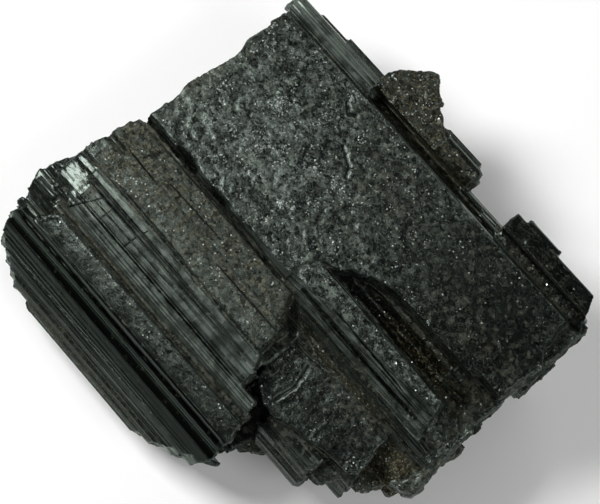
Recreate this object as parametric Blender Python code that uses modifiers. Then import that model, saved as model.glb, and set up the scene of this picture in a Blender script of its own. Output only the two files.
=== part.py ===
"""A schorl specimen: a chunk of black tourmaline prisms grown together, lying on its flattest side.

The prisms run along X. The layout is in millimetres, measured from the middle of the top plate: x along the
prisms, y across them and z up, so that depths are negative. toFrame() turns it into metres above the rest.
"""
import math
import random

import bmesh
import bpy
import numpy as np
from mathutils import Vector, noise
from mathutils.bvhtree import BVHTree

MM = 0.001

# Driving dimensions
REST_DEPTH = 24.0           # from the top plate down to the resting faces
PLATE_START, PLATE_END = -28.6, 33.4
SHIFT_X, SHIFT_Y = -0.5, 0.0    # brings the middle of the chunk over the origin
STRIA_PITCH = 1.1           # mean spacing of the ridges along a prism face
STRIA_DEPTH = 0.13          # how far a ridge stands above or below its face
NET_SIZE = 0.3              # spacing of the net drawn over the intergrowth before it is faceted
TRIANGLES = 9200
PIT_DEPTH = 0.34            # relief of the pitted growth surfaces
HACKLE_DEPTH = 0.55         # relief of the broken ends
WELD = 0.00001

LUSTROUS, PITTED, BROKEN = 0, 1, 2
RESTING_Z = -REST_DEPTH


def toFrame(x, y, z):
    return Vector((x + SHIFT_X, y + SHIFT_Y, z + REST_DEPTH)) * MM


# ---------------------------------------------------------------- making one prism

def striated(section, dice, pitch=STRIA_PITCH, depth=STRIA_DEPTH):
    """The outline with shallow ridges along its edges. A point marked "plain" starts an edge that stays flat.
    Each new point is (edge, share of the edge, offset), so that both ends of a prism get the same ridges."""
    made = []
    for i, point in enumerate(section):
        following = section[(i + 1) % len(section)]
        made.append((i, 0.0, 0.0))
        length = math.dist(point[:2], following[:2])
        if len(point) > 2 or length < 1.6 * pitch:
            continue
        share = 0.0
        side = 1
        while True:
            share += pitch * dice.uniform(0.45, 1.25) / length
            if share > 1 - 0.4 * pitch / length:
                break
            made.append((i, share, side * depth * dice.uniform(0.3, 1.3)))
            side = -side
    return made


def placed(section, ridges):
    """The ridge points on this outline, as (y, z). The outline runs so that its outside is on the left."""
    points = []
    for edge, share, offset in ridges:
        a = Vector(section[edge][:2])
        b = Vector(section[(edge + 1) % len(section)][:2])
        outward = (b - a).orthogonal().normalized()
        points.append(a.lerp(b, share) + outward * offset)
    return points


def outlineSolid(name, points, depth):
    """A flat outline extruded evenly about its plane, as a welded mesh object."""
    curve = bpy.data.curves.new(name, "CURVE")
    curve.dimensions = "2D"
    curve.fill_mode = "BOTH"
    curve.extrude = depth / 2
    spline = curve.splines.new("POLY")
    spline.points.add(len(points) - 1)
    for knot, (a, b) in zip(spline.points, points):
        knot.co = (a, b, 0, 1)
    spline.use_cyclic_u = True
    maker = bpy.data.objects.new(name + "_outline", curve)
    bpy.context.scene.collection.objects.link(maker)
    bpy.context.view_layer.update()
    mesh = bpy.data.meshes.new_from_object(maker.evaluated_get(bpy.context.evaluated_depsgraph_get()))
    bpy.data.objects.remove(maker)
    shape = bmesh.new()
    shape.from_mesh(mesh)
    bmesh.ops.remove_doubles(shape, verts=shape.verts, dist=WELD)
    bmesh.ops.recalc_face_normals(shape, faces=shape.faces)
    shape.to_mesh(mesh)
    shape.free()
    mesh.name = name
    return bpy.data.objects.new(name, mesh)


def finishFaces(mesh, materials, pittedTop, rough=False):
    for material in materials:
        mesh.materials.append(material)
    for face in mesh.polygons:
        if rough or abs(face.normal.x) > 0.35:
            face.material_index = BROKEN
        elif pittedTop and face.normal.z > 0.86:
            face.material_index = PITTED
        else:
            face.material_index = LUSTROUS


def prism(crystal, materials, dice):
    """One crystal: its outline across X carried from one end to the other. Its ends can lean (along X for each
    millimetre up), be skewed (along X for each millimetre of y), and the far end can have an outline of its own."""
    section = crystal["section"]
    farSection = crystal.get("farSection", section)
    start, end = crystal["span"]
    ridges = striated(section, dice, crystal.get("pitch", STRIA_PITCH), crystal.get("ridge", STRIA_DEPTH))
    near, far = placed(section, ridges), placed(farSection, ridges)
    leans = crystal.get("lean", (0.0, 0.0))
    skews = crystal.get("skew", (0.0, 0.0))
    drops = crystal.get("drop", (0.0, 0.0))
    top = max(p[1] for p in section)
    bottom = min(p[1] for p in section)
    midY = sum(p[0] for p in section) / len(section)
    obj = outlineSolid(crystal["name"], [p * MM for p in near], (end - start) * MM)
    for vertex in obj.data.vertices:
        atEnd = vertex.co.z > 0
        index = min(range(len(near)), key=lambda i: (near[i] * MM - vertex.co.xy).length_squared)
        y, z = far[index] if atEnd else near[index]
        x = end if atEnd else start
        x += leans[atEnd] * (z - top) + skews[atEnd] * (y - midY)
        z += drops[atEnd] * (z - bottom) / (top - bottom)
        vertex.co = toFrame(x, y, z)
    obj.data.update()
    finishFaces(obj.data, materials, crystal.get("pitted", False), crystal.get("rough", False))
    return obj


def block(piece, materials):
    """A piece given by its outline seen from above, from its top down to its foot, which can be drawn in."""
    outline = [Vector(p) for p in piece["plan"]]
    middle = sum(outline, Vector((0.0, 0.0))) / len(outline)
    top, foot = piece["heights"]
    obj = outlineSolid(piece["name"], [p * MM for p in outline], (top - foot) * MM)
    for vertex in obj.data.vertices:
        atTop = vertex.co.z > 0
        x, y = vertex.co.x / MM, vertex.co.y / MM
        if not atTop:
            x = middle.x + (x - middle.x) * piece["draw"]
            y = middle.y + (y - middle.y) * piece["draw"]
        z = top + piece.get("tiltX", 0.0) * (x - middle.x) + piece.get("tiltY", 0.0) * (y - middle.y)
        vertex.co = toFrame(x, y, z if atTop else foot)
    obj.data.update()
    finishFaces(obj.data, materials, True)
    return obj


# ---------------------------------------------------------------- the crystals

plate = dict(
    name="plate", span=(-29.8, 34.3), pitted=True, lean=(0.03, 0.10), drop=(0.0, -0.9), section=[
        (22.0, -0.4, "plain"), (13.0, 0.1, "plain"), (3.0, 0.0, "plain"), (-3.0, -0.1), (-3.6, -0.9),
        (-4.3, -2.6), (-5.6, -5.0), (-8.0, -14.0), (-7.2, -23.2), (-5.4, RESTING_Z, "plain"),
        (-1.6, RESTING_Z), (-1.1, -23.3), (-0.7, RESTING_Z, "plain"), (4.3, RESTING_Z), (4.7, -23.1),
        (5.3, RESTING_Z, "plain"), (9.4, RESTING_Z), (10.6, -22.9), (16.0, -21.7), (20.6, -19.0), (22.6, -15.0), (24.2, -12.6), (25.0, -9.0),
        (24.4, -5.5), (22.9, -3.4), (22.5, -1.2)])

rightSide = [
    dict(name="inner_strip", span=(-28.9, -11.9), lean=(0.3, 0.0), section=[
        (22.6, -3.0), (22.8, -0.9), (23.3, -0.3), (23.9, -0.9), (24.0, -3.4)]),
    dict(name="outer_strip", span=(-28.8, -11.8), lean=(0.3, 0.0), skew=(0.3, 0.0), section=[
        (23.8, -5.0), (24.1, -1.1), (24.5, -0.8), (25.6, -1.9), (26.2, -4.6), (25.4, -6.5)]),
    dict(name="strip_ledge_1", span=(-26.4, -19.6), skew=(1.0, 0.0), section=[
        (24.4, -7.0), (25.6, -3.0), (26.5, -3.6), (26.9, -7.0), (25.6, -9.5)]),
    dict(name="strip_ledge_2", span=(-20.4, -11.6), section=[
        (24.4, -7.0), (25.6, -2.9), (27.0, -3.6), (27.3, -7.0), (25.6, -9.5)]),
    dict(name="side_step", span=(-12.6, 33.0), lean=(0.0, 0.08), section=[
        (21.6, -6.0), (22.6, -2.9), (23.4, -4.6), (24.6, -5.2), (26.0, -8.0), (25.6, -12.0), (22.0, -16.0)]),
    dict(name="side_blade", span=(-3.6, 7.2), pitted=True, section=[
        (24.4, -6.5), (25.0, -3.4), (26.0, -2.8), (27.3, -2.6), (28.1, -5.0), (27.3, -9.0)]),
    dict(name="side_sliver", span=(0.4, 7.3), section=[
        (26.9, -4.0), (27.4, -1.9), (27.8, -2.3), (28.0, -4.6)]),
    dict(name="outer_sliver", span=(-1.6, 6.2), skew=(1.5, 0.0), section=[
        (27.0, -6.0), (28.2, -3.2), (28.8, -3.6), (29.1, -6.0), (27.6, -9.5)]),
    dict(name="notch_sliver", span=(7.0, 15.6), section=[
        (23.8, -7.0), (24.3, -3.7), (24.8, -4.0), (25.4, -7.0), (24.6, -9.0)]),
    dict(name="notch_rib", span=(11.6, 16.0), section=[
        (22.8, -6.0), (23.3, -2.8), (23.8, -3.1), (24.2, -6.0)]),
    dict(name="corner_block", span=(15.4, 32.6), lean=(0.1, 0.16), skew=(0.0, -0.55), pitted=True, section=[
        (22.0, -8.0), (22.8, -3.0), (24.2, -2.6), (24.6, -2.1), (25.0, -2.6), (27.6, -2.6), (28.3, -4.8),
        (28.2, -9.0), (26.8, -13.5), (23.0, -17.0)]),
    dict(name="corner_sliver", span=(17.4, 23.3), skew=(0.8, 0.0), section=[
        (27.4, -4.0), (27.9, -1.9), (28.3, -2.0), (28.7, -3.6), (28.2, -5.0)]),
    dict(name="corner_shelf", span=(24.0, 34.3), lean=(0.0, 0.2), skew=(0.0, -0.05), pitted=True, section=[
        (24.4, -4.4), (15.0, -4.2), (12.0, -8.0), (12.0, -16.0), (20.0, -16.5), (24.0, -12.0)]),
]

leftSide = [
    dict(name="step_1", span=(-30.9, 4.4), skew=(0.27, -0.45), pitted=True, section=[
        (-3.6, -4.0), (-4.5, -1.6, "plain"), (-8.4, -1.8), (-8.9, -2.6), (-9.4, -8.0), (-4.0, -8.0)]),
    dict(name="step_2", span=(-27.6, 6.4), pitted=True, section=[
        (-8.2, -2.6), (-8.9, -2.0, "plain"), (-9.7, -2.1), (-9.9, -2.6), (-9.9, -7.5), (-7.8, -7.5)]),
    dict(name="step_3", span=(-31.9, 6.2), skew=(0.2, -0.1), pitted=True, section=[
        (-9.2, -2.7), (-9.8, -2.1, "plain"), (-13.0, -2.4), (-13.5, -3.0), (-13.8, -7.5), (-9.4, -7.5)]),
    dict(name="face_1", span=(-28.4, 7.4), skew=(0.0, -0.4), section=[
        (-13.2, -3.2), (-13.6, -2.6), (-14.7, -2.8), (-15.4, -3.2), (-15.8, -8.5), (-12.8, -8.5)]),
    dict(name="face_1_tip", span=(-32.4, -27.6), lean=(0.2, 0.0), drop=(-0.9, 0.0), section=[
        (-13.2, -3.2), (-13.6, -2.6), (-14.5, -2.7), (-14.8, -3.0), (-15.4, -3.1), (-15.8, -8.5), (-12.8, -8.5)]),
    dict(name="face_2_tip", span=(-32.5, -27.3), lean=(0.2, 0.0), drop=(-1.0, 0.0), section=[
        (-15.2, -3.6), (-15.7, -3.0), (-17.8, -3.4), (-18.2, -3.9), (-18.5, -8.5), (-15.0, -8.5)]),
    dict(name="face_2", span=(-27.9, 8.4), section=[
        (-15.2, -3.6), (-15.6, -3.0), (-17.8, -3.5), (-18.2, -3.9), (-18.5, -8.5), (-15.0, -8.5)]),
    dict(name="face_3", span=(-28.4, 11.7), lean=(0.0, 0.1), skew=(-0.9, -0.15), section=[
        (-17.9, -4.2), (-18.3, -3.7), (-19.6, -4.2), (-20.2, -4.8), (-20.5, -8.0), (-17.6, -8.0)]),
    dict(name="face_3_tip", span=(-31.6, -27.2), drop=(-1.0, 0.0), lean=(0.2, 0.0), skew=(-1.1, 0.0), section=[
        (-17.8, -4.2), (-18.2, -3.7), (-19.4, -4.1), (-19.7, -4.9), (-20.0, -8.0), (-17.6, -8.0)]),
    dict(name="end_ledge", span=(-33.8, -24.0), lean=(-0.08, 0.0), skew=(0.32, 0.0), section=[
        (-12.0, -6.6), (-15.6, -5.2), (-18.0, -5.0), (-19.4, -6.2), (-19.6, -12.0), (-14.0, -14.0)]),
    dict(name="broken_tip", span=(-34.2, -24.0), lean=(-0.08, 0.0), skew=(-0.3, 0.0), section=[
        (-18.6, -7.2), (-19.4, -5.7), (-21.0, -6.0), (-22.4, -6.8), (-24.4, -8.2), (-25.6, -10.0), (-24.0, -15.0),
        (-19.0, -16.0)]),
    dict(name="tip_sliver", span=(-33.2, -30.2), skew=(-2.0, 0.0), section=[
        (-19.9, -6.8), (-20.3, -5.0), (-20.8, -5.2), (-21.1, -7.0)]),
    dict(name="tip_rib", span=(-33.2, -29.4), lean=(0.2, 0.0), section=[
        (-23.2, -8.8), (-23.9, -6.4), (-24.9, -7.2), (-25.2, -9.0)]),
    dict(name="groove_floor", span=(-29.0, 12.4), section=[
        (-19.6, -5.6), (-21.4, -5.5), (-22.4, -8.5), (-19.0, -8.5)]),
    dict(name="pitted_band", span=(-28.2, 12.9), lean=(0.1, 0.2), skew=(0.75, -0.25), pitted=True, section=[
        (-21.1, -5.7), (-21.7, -4.9, "plain"), (-24.3, -5.7), (-25.0, -6.6), (-25.4, -11.0), (-20.0, -11.0)]),
    dict(name="glossy_1", span=(-32.0, 13.2), lean=(0.1, 0.3), skew=(0.9, -0.1), section=[
        (-23.8, -7.4), (-24.9, -5.9), (-25.5, -6.9), (-25.7, -6.7), (-26.2, -7.6), (-26.8, -11.0), (-22.0, -16.0)]),
    dict(name="glossy_2", span=(-32.8, 13.4), lean=(0.0, 0.3), section=[
        (-25.0, -7.4), (-26.2, -7.5), (-26.6, -8.7), (-27.7, -9.4), (-28.6, -13.0), (-23.0, -17.0)]),
    dict(name="glossy_3", span=(-32.7, 12.9), lean=(0.0, 0.3), skew=(-0.15, 0.2), section=[
        (-26.6, -9.2), (-27.6, -9.2), (-29.1, -11.1), (-30.0, -14.0), (-25.0, -18.0)]),
    dict(name="glossy_4", span=(-31.9, 11.0), lean=(0.0, 0.2), skew=(-0.8, 1.2), section=[
        (-28.0, -11.0), (-29.0, -10.9), (-30.2, -12.4), (-31.0, -16.0), (-26.0, -20.0)]),
    dict(name="glossy_5", span=(-30.3, 8.0), lean=(0.0, 0.2), skew=(-1.2, 1.4), section=[
        (-29.2, -12.6), (-30.1, -12.3), (-31.4, -14.1), (-31.8, -17.5), (-27.0, -20.0)]),
    dict(name="glossy_6", span=(-28.4, 5.8), skew=(-1.6, 1.4), section=[
        (-30.4, -14.6), (-31.2, -13.9), (-31.7, -14.3), (-32.4, -15.5), (-32.2, -18.5), (-28.0, -19.5)]),
    dict(name="glossy_7", span=(-24.6, 3.4), skew=(-1.6, 1.6), section=[
        (-31.2, -15.8), (-32.4, -15.3), (-33.1, -16.8), (-32.4, -19.0), (-29.0, -19.8)]),
    dict(name="left_core", span=(-30.6, 8.0), lean=(0.1, 0.3), section=[
        (-5.0, -6.0), (-22.0, -7.0), (-27.0, -12.0), (-30.0, -16.8), (-29.6, -19.4), (-27.0, -21.8),
        (-24.6, -23.3), (-21.6, RESTING_Z, "plain"), (-16.0, RESTING_Z), (-14.6, -23.0), (-13.2, -23.6),
        (-9.5, -21.4), (-4.0, -18.0)]),
]

trough = dict(
    name="trough", heights=(3.0, -5.2), draw=0.93, plan=[
        (0.9, -3.0), (1.3, -0.9), (2.3, 0.9), (4.1, 2.2), (6.2, 4.0), (8.6, 5.4), (12.5, 6.6), (17.0, 6.9),
        (29.6, 6.8), (30.4, 8.0), (38.0, 7.4), (38.0, -8.0), (0.9, -8.0)])

plateStart = dict(
    name="plate_start", heights=(3.0, -7.0), draw=1.0, plan=[
        (-34.0, 27.0), (-28.6, 27.0), (-28.6, 20.2), (-28.9, 15.6), (-28.4, 13.2), (-28.2, 11.6), (-28.5, 9.6),
        (-29.2, 5.2), (-29.4, 3.4), (-29.1, 1.4), (-29.1, -2.4), (-29.4, -5.0), (-34.0, -5.0)])

deepStart = dict(
    name="deep_start", heights=(-6.0, -26.0), draw=1.0, plan=[
        (-34.0, 28.0), (-27.6, 28.0), (-27.2, 14.0), (-26.6, 8.0), (-27.4, -2.0), (-27.0, -10.0), (-34.0, -10.0)])

deepEnd = dict(
    name="deep_end", heights=(-8.0, -26.0), draw=1.0, plan=[
        (31.6, 28.0), (30.8, 12.0), (30.2, 4.0), (29.6, -10.0), (38.0, -10.0), (38.0, 28.0)])

plateEnd = dict(
    name="plate_end", heights=(3.0, -3.4), draw=1.0, plan=[
        (31.6, 26.0), (31.5, 20.2), (32.3, 17.4), (33.0, 16.0), (34.1, 14.8), (34.0, 12.0), (33.6, 9.2),
        (33.4, 4.0), (40.0, 4.0), (40.0, 26.0)])

middle = [
    dict(name="ridge", span=(2.0, 29.4), lean=(0.35, -0.2), skew=(0.22, -0.12), drop=(0.0, -0.9), pitted=True, section=[
        (1.8, -2.0), (1.2, -0.7), (-0.6, -0.35), (-2.5, -0.6), (-3.6, -2.0), (-4.5, -3.7), (-4.7, -8.0), (2.2, -8.0)],
        farSection=[
        (1.9, -2.2), (1.3, -0.9), (0.6, -0.7), (-0.2, -0.9), (-2.4, -2.4), (-4.4, -4.0), (-4.7, -8.0), (2.2, -8.0)]),
    dict(name="stained_ledge", span=(5.2, 30.2), skew=(1.2, 0.0), section=[
        (2.6, -8.0), (2.9, -4.2), (3.9, -3.6), (5.0, -4.3), (6.4, -8.0)]),
    dict(name="long_rib", span=(0.6, 32.4), drop=(0.0, -0.5), section=[
        (-3.9, -7.0), (-4.2, -4.3), (-4.6, -3.7), (-5.1, -4.2), (-5.7, -5.4), (-6.2, -9.0)]),
    dict(name="stained_slope", span=(2.5, 24.6), skew=(0.3, 0.0), section=[
        (-4.4, -4.6), (-5.9, -5.7), (-6.9, -6.9), (-8.2, -7.7), (-9.0, -12.0), (-3.5, -12.0)]),
]

endRim = dict(
    name="end_rim", heights=(-6.4, -13.0), draw=0.92, tiltY=0.25, plan=[
        (31.4, -1.4), (33.8, 0.2), (34.5, -2.4), (35.0, -6.6), (35.0, -9.4), (33.8, -10.4), (31.6, -10.8),
        (33.2, -8.8), (33.5, -6.4), (32.9, -3.6)])

lowerPlate = dict(
    name="lower_plate", heights=(-7.0, -14.0), draw=0.86, tiltX=-0.03, tiltY=0.10, plan=[
        (26.0, -5.4), (27.0, -6.8), (27.3, -8.8), (27.9, -11.5), (28.3, -13.1), (27.0, -14.5), (25.0, -14.6),
        (22.8, -14.9), (20.0, -15.6), (17.0, -16.2), (15.4, -17.0), (13.6, -17.2), (11.9, -17.1), (10.2, -16.3),
        (8.8, -15.5), (8.0, -13.6), (6.8, -11.6), (6.4, -8.8), (8.0, -8.1), (13.0, -7.9), (17.6, -7.0), (20.0, -6.2)])

farEnd = [
    dict(name="lower_body", span=(3.0, 27.0), skew=(0.0, -0.22), lean=(0.0, 0.12), section=[
        (-3.0, -9.0), (-13.6, -9.8), (-15.0, -10.6), (-17.0, -14.0), (-15.6, -18.5), (-11.0, -22.4),
        (-5.0, -23.8, "plain"), (1.0, -23.4), (2.0, -12.0)]),
    dict(name="gap_floor", span=(2.0, 14.0), lean=(0.0, 0.2), section=[
        (-8.0, -10.5), (-16.0, -11.6), (-22.0, -14.6), (-24.6, -17.0), (-24.0, -20.4), (-16.0, -22.6), (-6.0, -22.0)]),
    dict(name="lower_blade", span=(13.2, 23.2), lean=(0.0, 0.1), skew=(-0.2, 0.1), section=[
        (-14.4, -10.4), (-15.6, -8.6), (-17.8, -9.0), (-18.7, -9.8), (-19.0, -11.6), (-18.0, -17.0), (-14.0, -18.0)]),
    dict(name="blade_edge", span=(12.8, 17.0), section=[
        (-18.4, -11.0), (-18.8, -9.2), (-19.2, -9.3), (-19.6, -11.4)]),
    dict(name="lower_skirt", span=(13.4, 23.2), lean=(0.0, 0.1), skew=(-0.8, 0.0), section=[
        (-18.2, -11.2), (-18.9, -10.6), (-20.2, -12.0), (-20.8, -13.6), (-20.0, -17.0), (-17.0, -17.0)]),
    dict(name="brown_foot", span=(11.6, 17.8), lean=(0.0, 0.3), skew=(0.0, 0.9), rough=True, section=[
        (-17.0, -13.0), (-20.6, -14.0), (-22.4, -15.4), (-23.2, -17.0), (-22.2, -20.0), (-17.0, -20.6),
        (-14.0, -18.0)]),
    dict(name="knob_1", span=(21.6, 26.2), lean=(0.0, 0.2), skew=(0.0, 0.35), rough=True, section=[
        (-13.0, -11.0), (-15.6, -10.6), (-17.4, -11.6), (-18.2, -13.0), (-17.8, -16.5), (-14.0, -18.5)]),
    dict(name="knob_2", span=(24.0, 30.6), lean=(0.0, 0.15), skew=(0.0, 0.5), rough=True, section=[
        (-11.0, -11.0), (-13.2, -11.4), (-14.6, -12.8), (-14.4, -16.5), (-11.0, -19.0)]),
    dict(name="end_shelf", span=(20.0, 33.6), skew=(0.0, 0.15), lean=(0.0, 0.06), rough=True, section=[
        (-3.0, -8.4), (-7.4, -9.2), (-9.2, -10.6), (-10.8, -12.0), (-11.4, -15.0), (-10.0, -20.8),
        (-3.0, -22.0), (2.0, -16.0)]),
    dict(name="end_wall", span=(26.0, 32.6), lean=(0.0, -0.1), skew=(0.0, -0.05), drop=(0.0, -2.4), rough=True,
        section=[
        (8.6, -1.0), (7.4, -1.6), (5.0, -3.4), (2.6, -3.8), (0.5, -3.0), (-1.4, -2.4), (-3.4, -3.3), (-4.4, -5.0),
        (-4.6, -11.0), (9.0, -14.0)]),
    dict(name="end_bulge", span=(24.0, 33.8), lean=(0.0, 0.25), skew=(0.0, -0.09), rough=True, section=[
        (16.0, -5.0), (8.0, -5.6), (2.0, -5.2), (-1.5, -5.6), (-4.0, -7.4), (-4.6, -14.0), (0.0, -19.0),
        (12.0, -19.0), (18.0, -13.0)]),
]

tipBlock = dict(
    name="tip_block", heights=(-2.7, -9.5), draw=0.82, tiltY=-0.10, plan=[
        (-12.4, 24.6), (-12.4, 28.2), (-11.9, 29.2), (-10.2, 30.6), (-9.4, 31.8), (-7.8, 33.2), (-7.3, 32.6),
        (-6.6, 32.0), (-5.2, 31.0), (-4.5, 30.8), (-3.7, 29.6), (-3.2, 29.4), (-1.4, 28.4), (0.6, 27.2), (0.6, 24.6)])


def ditrigonal(y, z, radius, turn):
    """The rounded triangle that a tourmaline prism has across its length."""
    corners = 15
    outline = []
    for i in range(corners):
        angle = -2 * math.pi * i / corners
        reach = radius * (1 + 0.13 * math.cos(3 * (angle - turn)))
        outline.append((y + reach * math.cos(angle), z + reach * math.sin(angle)))
    return outline


def undersideCrystals():
    """The prisms that show below and on the far side, as (y, z, radius, turn, start, end, lean)."""
    rows = [
        (18.2, -13.4, 6.4, 0.4, -28.4, 29.6, (0.05, 0.15)),
        (12.4, -17.2, 5.6, 1.5, -29.2, 31.6, (-0.10, 0.2)),
        (23.0, -10.0, 3.6, 0.2, -28.2, -3.0, (0.0, 0.0)),
        (22.4, -14.8, 2.6, 1.1, -25.8, 18.4, (0.0, 0.1)),
        (17.4, -19.6, 2.3, 0.3, -27.0, 26.5, (0.1, -0.1)),
        (-13.0, -16.5, 6.6, 2.0, -30.4, 9.0, (-0.2, 0.3)),
        (-2.6, -17.4, 6.3, 0.9, -28.8, 31.4, (0.06, 0.1)),
        (-6.6, -11.6, 4.6, 1.7, -29.8, 27.0, (0.06, 0.1)),
        (-9.8, -21.0, 2.7, 0.5, -28.0, 6.4, (0.1, 0.1)),
        (-21.6, -17.6, 5.2, 1.1, -29.6, 4.0, (-0.1, 0.3)),
        (-27.4, -20.0, 2.4, 2.2, -26.2, 1.2, (0.0, 0.2)),
        (4.0, -16.0, 7.2, 2.7, -27.8, 30.4, (0.1, 0.1)),
        (8.6, -10.2, 4.4, 0.7, -28.9, 32.4, (0.1, 0.0)),
    ]
    return [dict(name=f"under_{i + 1}", span=(start, end), lean=lean, section=ditrigonal(y, z, radius, turn),
                 pitch=0.9) for i, (y, z, radius, turn, start, end, lean) in enumerate(rows)]


# ---------------------------------------------------------------- joining and roughening

def surface(name, colour, roughness):
    material = bpy.data.materials.new(name)
    material.use_nodes = True
    shader = material.node_tree.nodes["Principled BSDF"]
    shader.inputs["Base Color"].default_value = (*colour, 1.0)
    shader.inputs["Roughness"].default_value = roughness
    shader.inputs["Metallic"].default_value = 0.0
    return material


def hiddenCollection(name, objects):
    """A collection of blanks that a modifier reads and a render leaves out."""
    collection = bpy.data.collections.new(name)
    bpy.context.scene.collection.children.link(collection)
    for obj in objects:
        obj.display_type = "WIRE"
        obj.hide_render = True
        collection.objects.link(obj)
    return collection


def evaluated(obj):
    bpy.context.view_layer.update()
    return bpy.data.meshes.new_from_object(obj.evaluated_get(bpy.context.evaluated_depsgraph_get()))


def grownTogether(objects):
    """All the crystals in one mesh, still overlapping."""
    shape = bmesh.new()
    for obj in objects:
        mesh = evaluated(obj)
        shape.from_mesh(mesh)
        bpy.data.meshes.remove(mesh)
    mesh = bpy.data.meshes.new("intergrowth")
    shape.to_mesh(mesh)
    shape.free()
    return mesh


def skin(mesh, name):
    """The outer surface of the intergrowth as one even net, with nothing left inside."""
    obj = bpy.data.objects.new(name, mesh)
    bpy.context.scene.collection.objects.link(obj)
    net = obj.modifiers.new("skin", "REMESH")
    net.mode = "VOXEL"
    net.voxel_size = NET_SIZE * MM
    net.adaptivity = 0.0
    joined = evaluated(obj)
    bpy.data.objects.remove(obj)
    return joined


def spread(values, edges, rounds):
    """Evens out a value over the net by averaging each vertex with its neighbours."""
    counts = np.zeros(len(values))
    np.add.at(counts, edges[:, 0], 1)
    np.add.at(counts, edges[:, 1], 1)
    for _ in range(rounds):
        total = np.zeros(len(values))
        np.add.at(total, edges[:, 0], values[edges[:, 1]])
        np.add.at(total, edges[:, 1], values[edges[:, 0]])
        values = 0.5 * values + 0.5 * total / np.maximum(counts, 1)
    return values


def pittedRelief(p):
    swell = noise.noise(p / 7.5)
    lumps = noise.noise(p / 2.6 + Vector((4.0, 1.0, 7.0)))
    pits = max(0.0, noise.noise(p / 1.9 + Vector((9.0, 3.0, 2.0)))) ** 1.5
    return PIT_DEPTH * (0.9 * swell + 0.7 * lumps - 1.6 * pits)


def brokenRelief(p):
    """A hackly end: each of its small columns snapped off at a height of its own, with chips on top."""
    column = noise.voronoi(Vector((p.x / 16.0, p.y / 2.7, p.z / 2.2)))[1][0]
    steps = noise.noise(column * 5.3)
    swell = noise.noise(Vector((p.x / 9.0, p.y / 6.0, p.z / 6.0)))
    chips = noise.noise(p / 1.7 + Vector((2.0, 8.0, 5.0)))
    return HACKLE_DEPTH * (1.3 * steps + 0.6 * swell + 0.5 * chips)


def roughen(mesh, source):
    """Moves the net in and out over the pitted faces and the broken ends."""
    finder = BVHTree.FromPolygons([v.co for v in source.vertices], [p.vertices for p in source.polygons])
    kinds = [p.material_index for p in source.polygons]
    count = len(mesh.vertices)
    edges = np.empty(len(mesh.edges) * 2, dtype=np.int64)
    mesh.edges.foreach_get("vertices", edges)
    edges = edges.reshape(-1, 2)
    pitted, broken = np.zeros(count), np.zeros(count)
    for i, vertex in enumerate(mesh.vertices):
        kind = kinds[finder.find_nearest(vertex.co)[2]]
        pitted[i] = kind == PITTED
        broken[i] = kind == BROKEN
    pitted, broken = spread(pitted, edges, 3), spread(broken, edges, 3)
    normals = [v.normal.copy() for v in mesh.vertices]
    for i, vertex in enumerate(mesh.vertices):
        if vertex.co.z < 0.25 * MM:
            vertex.co.z = 0.0
            continue
        height = 0.0
        p = vertex.co / MM
        if pitted[i] > 0.01:
            height += pitted[i] * pittedRelief(p)
        if broken[i] > 0.01:
            height += broken[i] * brokenRelief(p)
        vertex.co += normals[i] * (height * MM)
    mesh.update()


def faceted(mesh, name, triangles):
    """The net drawn together into this many flat facets."""
    obj = bpy.data.objects.new(name, mesh)
    bpy.context.scene.collection.objects.link(obj)
    count = sum(len(p.vertices) - 2 for p in mesh.polygons)
    facets = obj.modifiers.new("facets", "DECIMATE")
    facets.decimate_type = "COLLAPSE"
    facets.ratio = triangles / count
    facets.use_collapse_triangulate = True
    result = evaluated(obj)
    bpy.data.objects.remove(obj)
    for vertex in result.vertices:
        if vertex.co.z < 0.05 * MM:
            vertex.co.z = 0.0
    print("net", count, "facets", len(result.polygons))
    return result


def build():
    for obj in list(bpy.data.objects):
        bpy.data.objects.remove(obj)
    dice = random.Random(11)
    materials = []
    cuts = hiddenCollection("cuts", [
        block(cut, materials) for cut in (trough, plateStart, plateEnd, deepStart, deepEnd)])
    stem = prism(plate, materials, dice)
    crystals = rightSide + leftSide + middle + farEnd + undersideCrystals()
    hiddenCollection("crystals", [stem] + [prism(c, materials, dice) for c in crystals]
                     + [block(tipBlock, materials), block(lowerPlate, materials), block(endRim, materials)])
    hollow = stem.modifiers.new("trough", "BOOLEAN")
    hollow.operation = "DIFFERENCE"
    hollow.operand_type = "COLLECTION"
    hollow.collection = cuts
    hollow.solver = "EXACT"
    source = grownTogether(bpy.data.collections["crystals"].objects)
    net = skin(source.copy(), "net")
    roughen(net, source)
    body = faceted(net, "facets", TRIANGLES)
    body.materials.clear()
    body.materials.append(surface("schorl", (0.020, 0.022, 0.020), 0.35))
    specimen = bpy.data.objects.new("tourmaline_crystal", body)
    chunk = bpy.data.collections.new("tourmaline_specimen")
    bpy.context.scene.collection.children.link(chunk)
    chunk.objects.link(specimen)


build()
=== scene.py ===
import math
import random

import bmesh
import bpy
import numpy as np
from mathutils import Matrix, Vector, noise
from mathutils.bvhtree import BVHTree


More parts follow.
